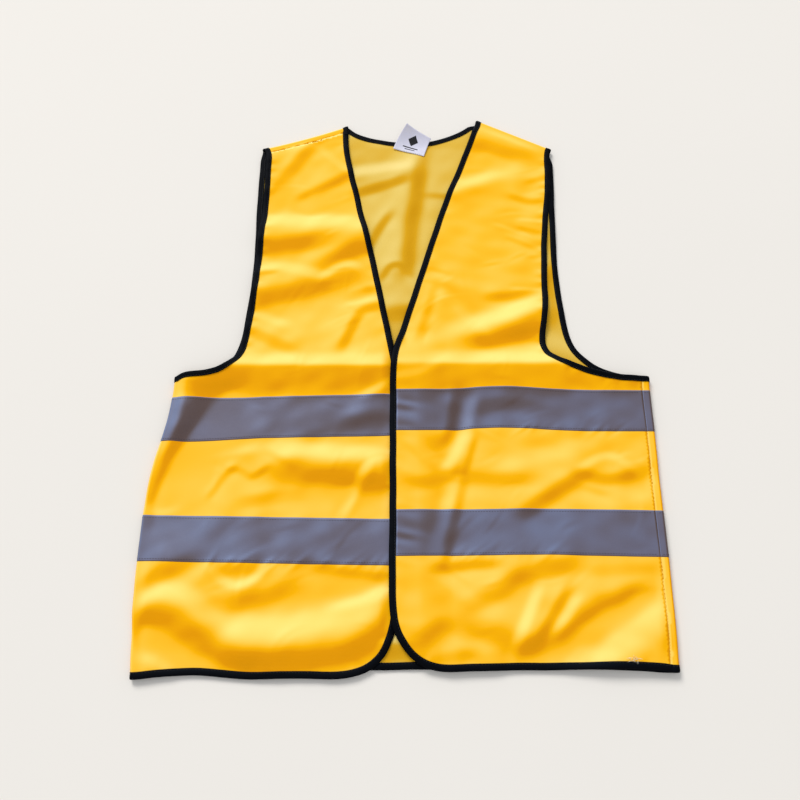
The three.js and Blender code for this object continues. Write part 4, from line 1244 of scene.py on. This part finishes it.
def bind_front_right():
    hem = front_right[front_right[:, 0] > LOW_X + 8]
    start = LOW_X + ROLL
    line = np.vstack([hem, [[start, LOW_R], [start - 4, LOW_R + 0.8], [start - 9, LOW_R + 2.2],
                            [start - TURN_R + 0.3, LOW_R + 2.6]]])
    return bind("binding_front_right", laid(lay_right, resample(line, 0.9), 1), 1, 3)


def bind_front_left():
    seam = left_x(HEM_LEFT) - SIDE_L
    hem = front_left[(front_left[:, 0] < seam - 3) | (front_left[:, 1] > 0)]
    line = np.vstack([hem, line_to(hem[-1], [seam + 4.0, HEM_LEFT])[1:]])
    return bind("binding_front_left", laid(lay_left, line, 1), -1, 4)


def bind_back_hem():
    fold = left_x(HEM_LEFT) - ROLL
    hem = back_hem[back_hem[:, 0] < fold - 3]
    line = np.vstack([hem, line_to(hem[-1], [fold + TURN_L, HEM_LEFT])[1:]])
    return bind("binding_hem_of_back", laid(lay_back, line, -1), 1, 5)


def bind_armhole_right():
    """Under the arm at the back, up the front, over the shoulder and down the back."""
    front = arm_right[arm_right[:, 0] > ARM_X + 9]
    over = [shoulder_r.at_tip(HALF, TURN_S - ROLL - 1), shoulder_r.at_tip(HALF, 6),
            shoulder_r.at_tip(HALF - 2.3, 1.5), shoulder_r.at_tip(HALF - 2.3, -4)]
    back = (back_arm_right[:, 1] < 306) & (back_arm_right[:, 0] > ARM_X + SIDE_R + 4)
    end = line_to([ARM_X + SIDE_R + 3.5, -25.2], [ARM_X + SIDE_R + 0.3, UNDERARM_RIGHT])
    path = chain(
        laid(lay_right, smooth(ARM_CORNER + [tuple(front[0])], 0.8)[:-1], 1),
        laid(lay_right, front, 1),
        laid(lay_back, smooth(over, 0.8), -1),
        laid(lay_back, back_arm_right[back], -1),
        laid(lay_back, end, -1),
    )
    return bind("binding_armhole_of_right", path, 1, 6)


def bind_armhole_left():
    """From the side seam up the front, over the shoulder, down the back and round the side."""
    fold, y = left_x(UNDERARM_LEFT), UNDERARM_LEFT
    front = (arm_left[:, 0] < 270) & (arm_left[:, 1] < 303)
    back = (back_arm_left[:, 1] < 302) & (back_arm_left[:, 0] < fold - 6)
    over = line_to(shoulder_l.at_tip(HALF, -(ROLL + 4)), shoulder_l.at_tip(HALF, TURN_S - ROLL))
    path = chain(
        laid(lay_left, line_to([fold - SIDE_L + 3.5, y], [272.0, y], 2.0), 1),
        laid(lay_left, arm_left[front], 1),
        laid(lay_left, over, 1),
        laid(lay_back, back_arm_left[back], -1),
        laid(lay_back, line_to([fold - 5, y], [fold - ROLL + TURN_L, y]), -1),
    )
    return bind("binding_armhole_of_left", path, -1, 7)


def bind_neck():
    """The back of the neck, over both shoulders."""
    def over_right(x, y, radius=2.25):
        """Unrolls a point on the turned-over edge at the right shoulder."""
        w = shoulder_r.beyond(x, y)
        return np.array([x, y]) + shoulder_r.out * (math.pi * radius - 2 * ROLL - 2 * w)

    right = [over_right(-79.3, 344.8), over_right(-79.4, 349.5), over_right(-79.7, 354.6),
             shoulder_r.at_neck(HALF, 1.5), shoulder_r.at_neck(HALF, -(ROLL + 1))]
    middle = back_neck[(back_neck[:, 0] > -77) & (back_neck[:, 0] < 93.5)]
    left = [shoulder_l.at_neck(HALF, TURN_S - ROLL), shoulder_l.at_neck(HALF, 3.0),
            shoulder_l.at_neck(HALF, -2.0), (101.6, 360.4), (98.2, 351.4), (96.2, 346.0)]
    path = chain(
        laid(lay_back, smooth(right, 0.8), -1),
        laid(lay_back, middle, -1),
        laid(lay_left, smooth(left, 0.8), 1),
    )
    return bind("binding_back_of_neck", path, -1, 8, scale=1.08)


def bind_thread(name, frames):
    """Thread along the inner edge of a binding, on both faces."""
    p, t, u, n = frames
    rows = [stitches(p + 2.35 * u + s * 0.93 * n, t, n * s, pitch=3.2, length=2.6, radius=0.20,
                     lift=0.10) for s in (1, -1)]
    return merge_rows(name, rows, thread_black)


bound = [bind_front_right(), bind_front_left(), bind_back_hem(), bind_armhole_right(),
         bind_armhole_left(), bind_neck()]
bindings = [obj for obj, _ in bound]
binding_threads = [bind_thread("thread_" + place, frames) for place, (_, frames) in zip(
    ("front_right", "front_left", "hem_of_back", "armhole_right", "armhole_left",
     "back_of_neck"), bound)]

# ---------------------------------------------------------------- reflective bands
BAND_LOW, BAND_TOP = CLOTH / 2 - 0.05, CLOTH / 2 + 0.24  # heights off the middle of the cloth
BAND_HALF = 26.2
STITCH_INSET = 2.8
RIGHT_ROWS, LEFT_ROWS = (-77, -223), (-70, -216)  # y of the bands where they meet the sides
ROLL_STATIONS = np.arange(-0.8, 8.0, 0.7)


def reflective_band(name, thread_name, lay, xs, thread_xs, middle, half, sign=1):
    """A band along xs, and the two rows of thread that hold it."""
    v = np.concatenate([[-1.0, -0.985], np.linspace(-0.95, 0.95, 20), [0.985, 1.0]])
    x, v = np.meshgrid(xs, v, indexing="ij")
    shape = x.shape
    y = (middle(x) + half(x) * v).ravel()
    x = x.ravel()
    p, n = lay(x, y), normals(lay, x, y) * sign
    edge = np.where(np.abs(v) > 0.99, 0.35, np.where(np.abs(v) > 0.97, 0.8, 1.0)).ravel()
    top = p + n * (BAND_LOW + (BAND_TOP - BAND_LOW) * edge)[:, None]
    flat = np.stack([x, y], 1)
    band = block(name, top, p + n * BAND_LOW, shape, tape, flat, rims_last=True)
    rows = []
    for d in (-1, 1):
        y = middle(thread_xs) + d * (half(thread_xs) - STITCH_INSET)
        n = normals(lay, thread_xs, y) * sign
        p = lay(thread_xs, y) + n * (BAND_TOP + 0.02)
        rows.append(stitches(p, np.gradient(p, axis=0), n, pitch=3.0, length=2.45, radius=0.21,
                             lift=0.12))
    return band, merge_rows(thread_name, rows, thread_grey)


def right_band(row, word):
    side_y = RIGHT_ROWS[row]
    end = right_x(side_y) + ROLL

    def stations(last):
        return np.concatenate([np.arange(-8.1 - HALF + 0.3, end + 1.5, -2.4), end - ROLL_STATIONS,
                               end - np.linspace(8.6, last, 7)])

    def lay(x, y):
        # each station is slid to the fold at its own height
        k = ease((end + 40 - x) / 40)
        return lay_right(x + k * (right_x(y) - right_x(side_y)), y)

    def half(x):
        return 26.2 + 1.5 * ease((-170 - x) / 80) if row == 0 else 26.1

    return reflective_band(f"band_{word}_right_front", f"thread_band_{word}_right", lay,
                           stations(TURN_R), stations(TURN_R - 1),
                           lambda x: band_y("right", row, np.maximum(x, -285)), half)


def left_band(row, word):
    xs = np.linspace(-12.9 + HALF - 0.3, left_x(LEFT_ROWS[row]) - SIDE_L + 1.4, 120)
    return reflective_band(f"band_{word}_left_front", f"thread_band_{word}_left", lay_left, xs,
                           xs[:-1], lambda x: band_y("left", row, x), lambda x: BAND_HALF)


def back_band(row, word):
    right_y, left_y = RIGHT_ROWS[row], LEFT_ROWS[row]
    end = left_x(left_y) - ROLL
    start = right_x(right_y) + SIDE_R + 0.6
    xs = np.concatenate([np.arange(start, end - 1.5, 3.2), end + ROLL_STATIONS,
                         end + np.linspace(8.6, TURN_L, 5)])

    def middle(x):
        # where it has turned over to the front it lines up with the front's band
        turned = 2 * end + math.pi * 2.3 - x
        k = ease((x - end + 14) / 16)
        back = band_y("back", row, np.minimum(x, end))
        return back * (1 - k) + band_y("left", row, np.minimum(turned, end)) * k

    def lay(x, y):
        k = ease((x - end + 40) / 40)
        slide = k * (left_x(y) - left_x(left_y))
        return lay_back(x + slide + ease((-200 - x) / 60) * (right_x(y) - right_x(right_y)), y)

    return reflective_band(f"band_{word}_of_back", f"thread_band_{word}_back", lay, xs, xs[:-1],
                           middle, lambda x: BAND_HALF, sign=-1)


# per row: the (band, thread) of the right front, the left front and the back
bands = {word: (right_band(row, word), left_band(row, word), back_band(row, word))
         for row, word in enumerate(("upper", "lower"))}


# ---------------------------------------------------------------- seams
def seam_row(lay, points, sign, height=CLOTH / 2 + 0.05, radius=0.15):
    points = resample(np.array(points, float), 2.0)
    p, n = laid(lay, points, sign)
    p = p + n * height
    return stitches(p, np.gradient(p, axis=0), n, pitch=3.0, length=2.8, radius=radius, lift=0.02)


def allowance(name, lay, points, out, width, top, sign):
    """A narrow strip of cloth with an overlocked, slightly wavy free edge."""
    points = resample(np.array(points, float), 3.0)
    v = np.linspace(0, 1, 6)
    s = np.arange(len(points))
    widths = (width + 0.4 * np.sin(s / 1.7))[:, None, None]
    grid = points[:, None, :] + (v[None, :, None] * widths) * out
    x, y = grid[..., 0].ravel(), grid[..., 1].ravel()
    n = normals(lay, x, y) * sign
    wave = (0.25 * np.sin(s / 2.3)[:, None] * v[None]).ravel()
    upper, lower = (lay(x, y) + n * (h + wave)[:, None] for h in (top, 0.35))
    return block(name, upper, lower, grid.shape[:2], lining, np.stack([x, y], 1))


seam_ys = np.arange(-352, -34, 6.0)
past = TURN_S - ROLL - 1.6  # of the shoulder seams, beyond the fold
seams = [
    # the left side seam's row in the darker thread: a painted shade line along the turned edge
    merge_rows("thread_side_seam_left", [
        seam_row(lay_back, [[left_x(y) - ROLL + TURN_L - 0.5, y] for y in seam_ys], -1,
                 CLOTH / 2 + 0.06, 0.12)], thread_seam_and_shade),
    merge_rows("thread_side_seam_right", [
        seam_row(lay_back, [[back_seam_x(y) + 1.8, y] for y in seam_ys], -1)], thread_yellow),
    merge_rows("thread_shoulder_seams", [
        seam_row(lay_back, [shoulder_r.at_tip(9, past + 1.2), shoulder_r.at_neck(9, past + 1.2)],
                 -1, CLOTH / 2 - 0.03, 0.1),
        seam_row(lay_left, [shoulder_l.at_tip(9, past), shoulder_l.at_neck(9, past)], 1),
    ], thread_yellow),
]
allowances = [
    allowance("seam_allowance_side_right", lay_back,
              [[back_seam_x(y) + 0.5, y] for y in seam_ys], np.array([1.0, 0.0]), 9, 0.75, 1),
    allowance("seam_allowance_side_left", lay_left,
              [[left_x(y) - SIDE_L + 2, y] for y in seam_ys], np.array([-1.0, 0.0]), 9, 0.75, -1),
    allowance("seam_allowance_shoulder_right", lay_right,
              [shoulder_r.at_tip(10, -8), shoulder_r.at_neck(20, -8)], -shoulder_r.out, 8, 0.7,
              -1),
    allowance("seam_allowance_shoulder_left", lay_back,
              [shoulder_l.at_tip(11, -8), shoulder_l.at_neck(13, -8)], -shoulder_l.out, 8, 0.7, 1),
]


# ---------------------------------------------------------------- closure
def patch(name, x0, x1, middle, height, material, seed, up):
    """Hook or loop tape: a 50 mm tall base with a pile of small stalks on one face."""
    nx, ny = 14, 34
    x, y = np.meshgrid(np.linspace(x0, x1, nx), np.linspace(middle - 25, middle + 25, ny),
                       indexing="ij")
    rng = np.random.RandomState(seed)
    z = height(x.ravel(), y.ravel()).reshape(x.shape)
    top = np.stack([x, y, z + rng.uniform(-0.05, 0.05, x.shape)], -1).reshape(-1, 3)
    low = np.stack([x, y, z - 0.55], -1).reshape(-1, 3)
    verts, faces = [top, low], block_faces(nx, ny)
    base = 2 * nx * ny
    # little tapered stalks: upward on hooks, downward on loops
    x, y = np.meshgrid(np.linspace(x0 + 1.6, x1 - 1.6, 12),
                       np.linspace(middle - 23.4, middle + 23.4, 32), indexing="ij")
    x = (x + rng.uniform(-0.3, 0.3, x.shape)).ravel()
    y = (y + rng.uniform(-0.3, 0.3, y.shape)).ravel()
    z = height(x, y) + (0.0 if up > 0 else -0.55)
    for q in range(len(x)):
        lean = rng.uniform(-0.25, 0.25, 2)
        stalk = []
        for level, r in ((-0.1, 0.26), (0.25, 0.2), (0.42, 0.1)):
            for j in range(4):
                a = math.pi / 2 * j + q
                stalk.append((x[q] + r * math.cos(a) + lean[0] * level,
                              y[q] + r * math.sin(a) + lean[1] * level, z[q] + up * level))
        verts.append(np.array(stalk))
        faces += square_tube(base, 3)
        base += 12
    return solid(name, np.vstack(verts), faces, material)


def hook_z(x, y):
    return np.maximum(z_right(np.full_like(x, -8.0), y) + 1.85, RIGHT_Z + 1.85)


def loop_z(x, y):
    return z_left(x, y) - CLOTH / 2 - 0.05


closure = {}
for row, (word, middle) in enumerate((("upper", -73.6), ("lower", -220.0))):
    closure[word] = (
        patch(f"hook_tape_{word}", -12.0, 8.0, middle, hook_z, hook_mat, 31 + row, 1.0),
        patch(f"loop_tape_{word}", -8.6, 11.4, middle, loop_z, loop_mat, 41 + row, -1.0),
    )

# ---------------------------------------------------------------- label
LABEL_AT, LABEL_TURN = np.array([6.4, 315.2]), math.radians(-17.0)
LABEL_LONG, LABEL_TALL = 47, 34
label_a = np.array([math.cos(LABEL_TURN), math.sin(LABEL_TURN)])
label_b = perp(label_a)


def on_label(a, b, height=0.0):
    """a along the sewn edge from its middle, b up from it; the upper corner at -a curls most."""
    b = b * (1 - 0.14 * (a / LABEL_LONG + 0.5))
    a = a * 0.93
    t = np.clip(b / 34.0 + 0.62 * (0.5 - a / LABEL_LONG) - 0.42, 0, 1.3)
    lift = 12.2 * t**1.7 + 0.5 * np.sin(b / LABEL_TALL * math.pi) * (0.5 + a / 60)
    x = LABEL_AT[0] + a * label_a[0] + b * label_b[0] + 6.5 * t**2.0
    y = LABEL_AT[1] + a * label_a[1] + b * label_b[1] - 1.5 * t**2
    rest = np.maximum(3.55, z_back(x, y) + 0.75)
    return np.stack([x, y, rest + lift + height + 0.15 * np.sin(a / 6.0)], -1)


def label_block(name, a_range, b_range, low, top, material, shape, warp=None):
    a, b = np.meshgrid(np.linspace(*a_range, shape[0]), np.linspace(*b_range, shape[1]),
                       indexing="ij")
    a, b = a.ravel(), b.ravel()
    if warp:
        a, b = warp(a, b)
    n, base = normals(on_label, a, b), on_label(a, b)
    return block(name, base + n * top, base + n * low, shape, material, np.stack([a, b], 1))


def to_diamond(a, b):
    return (a + (b - 19.6)) * 0.62, 19.6 + ((b - 19.6) - a) * 0.62


def label_stitches():
    path = on_label(np.linspace(-22, 22, 30), np.full(30, 1.4), 0.25)
    up = np.tile([0, 0, 1.0], (30, 1))
    row = stitches(path, np.gradient(path, axis=0), up, pitch=2.6, length=2.0, radius=0.2,
                   lift=0.1)
    return merge_rows("label_thread", [row], thread_white)


label = label_block("neck_label_cloth", (-LABEL_LONG / 2, LABEL_LONG / 2), (0, LABEL_TALL),
                    -0.18, 0.18, label_mat, (40, 30))
marks = [label_block(f"label_mark_{name}", a_range, b_range, 0.16, 0.24, ink, shape, warp)
         for name, a_range, b_range, shape, warp in (
             ("diamond", (-6.6, 6.6), (13.0, 26.2), (11, 11), to_diamond),
             ("bar", (-11.5, 11.5), (7.6, 9.2), (14, 4), None),
             ("bar_short", (-7.5, 7.5), (4.6, 5.8), (10, 4), None))]
label_thread = label_stitches()


# ---------------------------------------------------------------- loose thread ends
def thread_tuft(name, cx, cy, seed, count, size):
    """A tuft of short bowed thread ends lying on the left front."""
    verts, faces = [], []
    n = 9  # points along each end
    rng = np.random.RandomState(seed)
    z = float(z_left(np.array([cx]), np.array([cy]))[0]) + 0.5
    for _ in range(count):
        points = [np.array([cx + rng.uniform(-5, 5), cy + rng.uniform(-2, 2), z])]
        heading = rng.uniform(0, 2 * math.pi)
        bend = rng.uniform(-2.4, 2.4)
        length = size * rng.uniform(0.5, 1.1)
        for _ in range(n - 1):
            heading += bend / n
            step = np.array([math.cos(heading), 0.55 * math.sin(heading), 0])
            points.append(points[-1] + step * length / n)
        points = np.array(points)
        points[:, 2] += 0.2 + rng.uniform(0.4, 1.8) * np.sin(np.linspace(0, math.pi, n))
        t = np.gradient(points, axis=0)
        t /= np.linalg.norm(t, axis=1)[:, None]
        side = np.cross(t, [0, 0, 1.0])
        side /= np.linalg.norm(side, axis=1)[:, None]
        other = np.cross(side, t)
        faces += square_tube(len(verts), n)
        for i in range(n):
            for j in range(4):
                a = math.pi / 2 * j
                verts.append(points[i] + 0.12 * (math.cos(a) * side[i] + math.sin(a) * other[i]))
    return solid(name, np.array(verts), faces, thread_white)


tuft = thread_tuft("loose_thread_tuft", 234.0, -349.5, seed=9, count=26, size=6.6)


# ---------------------------------------------------------------- what rides on what
def pivot(line, z, side):
    """Start and end, in metres, of the stretch over which a front begins to move."""
    a, b = np.array(line)
    middle = (a + b) / 2
    end = middle + side * perp(unit(b - a)) * PIVOT_REACH
    return map(tuple, to_m([[*middle, z], [*end, z]]))


PIVOTS = {side: tuple(pivot(*crease)) for side, crease in CREASES.items()}


def cross(obj, side, *nodes):
    """Bakes a piece's placement into its mesh and hides the imported parts it stands for; its
    crease's pivot is looked up but not applied.
    """
    start, end = PIVOTS[side]
    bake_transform(obj)
    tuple(start)
    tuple(end)
    if nodes:
        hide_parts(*nodes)


def ride(obj, part, *nodes):
    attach(obj, part)
    if nodes:
        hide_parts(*nodes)


cross(panel_right, "right", "front_panel_right_side", "front_panel_right_flap")
cross(panel_left, "left", "front_panel_left_side", "front_panel_left_flap")
ride(panel_back, "back", "back_panel")
for obj, side in zip(bindings, ("right", "left")):
    cross(obj, side, f"binding_front_edge_{side}", f"binding_hem_{side}")
for obj, place in zip(bindings[2:], ("hem_back", "armhole_right", "armhole_left", "neck_back")):
    ride(obj, "back", "binding_" + place)
cross(binding_threads[0], "right")
cross(binding_threads[1], "left")
for obj in binding_threads[2:]:
    ride(obj, "back")
for word in ("upper", "lower"):
    (band_r, thread_r), (band_l, thread_l), (band_b, thread_b) = bands[word]
    for obj, side in ((band_r, "right"), (band_l, "left")):
        node = f"reflective_band_{word}_{side}"
        cross(obj, side, node + "_side", node + "_flap")
    ride(band_b, "back", f"reflective_band_{word}_back")
    cross(thread_r, "right")
    cross(thread_l, "left")
    ride(thread_b, "back")
    hook, loop = closure[word]
    ride(hook, "front_right", f"hook_strip_{word}")
    ride(loop, "front_left", f"loop_patch_{word}")
for obj in (*seams, tuft):
    ride(obj, "back")
for obj, node in zip(allowances, ("side_seam_right", "side_seam_left", "shoulder_seam_right",
                                  "shoulder_seam_left")):
    ride(obj, "back", node)
ride(label, "label", "neck_label")
for obj in (*marks, label_thread):
    ride(obj, "label")

for word in ("upper", "lower"):
    for pair in bands[word]:
        for obj in pair:
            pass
    for obj in closure[word]:
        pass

# ---------------------------------------------------------------- floor, light, camera (metres)
scene = bpy.context.scene


def studio_floor():
    bpy.ops.mesh.primitive_grid_add(x_subdivisions=8, y_subdivisions=8, size=9,
                                    location=(0, 0, -0.0006))
    floor = bpy.context.object
    floor.name = "studio_floor"
    sh = Shader("studio_floor")
    cloud = sh.noise(sh.coords("Object"), scale=2.0)
    sh.surface({
        "Base Color": sh.mix(cloud, (0.80, 0.765, 0.715), (0.82, 0.785, 0.735)),
        "Roughness": 0.9,
        "Specular IOR Level": 0.1,
    })
    floor.data.materials.append(sh.material)


def studio_world():
    world = bpy.data.worlds.new("studio")
    scene.world = world
    world.use_nodes = True
    background = world.node_tree.nodes["Background"]
    background.inputs["Color"].default_value = (0.93, 0.96, 1.0, 1)
    background.inputs["Strength"].default_value = 0.56


def area_light(name, location, size, power, color):
    """A round light aimed at the origin."""
    data = bpy.data.lights.new(name, "AREA")
    data.shape = "DISK"
    data.size = size
    data.energy = power
    data.color = color
    obj = bpy.data.objects.new(name, data)
    scene.collection.objects.link(obj)
    obj.location = location
    obj.rotation_euler = (-Vector(location)).to_track_quat("-Z", "Y").to_euler()


def add_camera():
    data = bpy.data.cameras.new("camera")
    camera = bpy.data.objects.new("camera", data)
    scene.collection.objects.link(camera)
    camera.location = to_m([-5, -482, 920.5])[0]
    camera.rotation_euler = (math.radians(25), 0, 0)
    data.sensor_width = 36
    data.lens = 38.820105
    data.clip_start = 0.01
    scene.camera = camera


studio_floor()
studio_world()
area_light("key", tuple(LIGHT * 16.0), size=7.6, power=1985, color=(1.0, 0.985, 0.96))
area_light("fill", (2.0, -8.8, 12.8), size=10.0, power=300, color=(0.95, 0.97, 1.0))
add_camera()
scene.view_settings.view_transform = "Standard"
scene.view_settings.look = "None"
scene.view_settings.exposure = 0.0
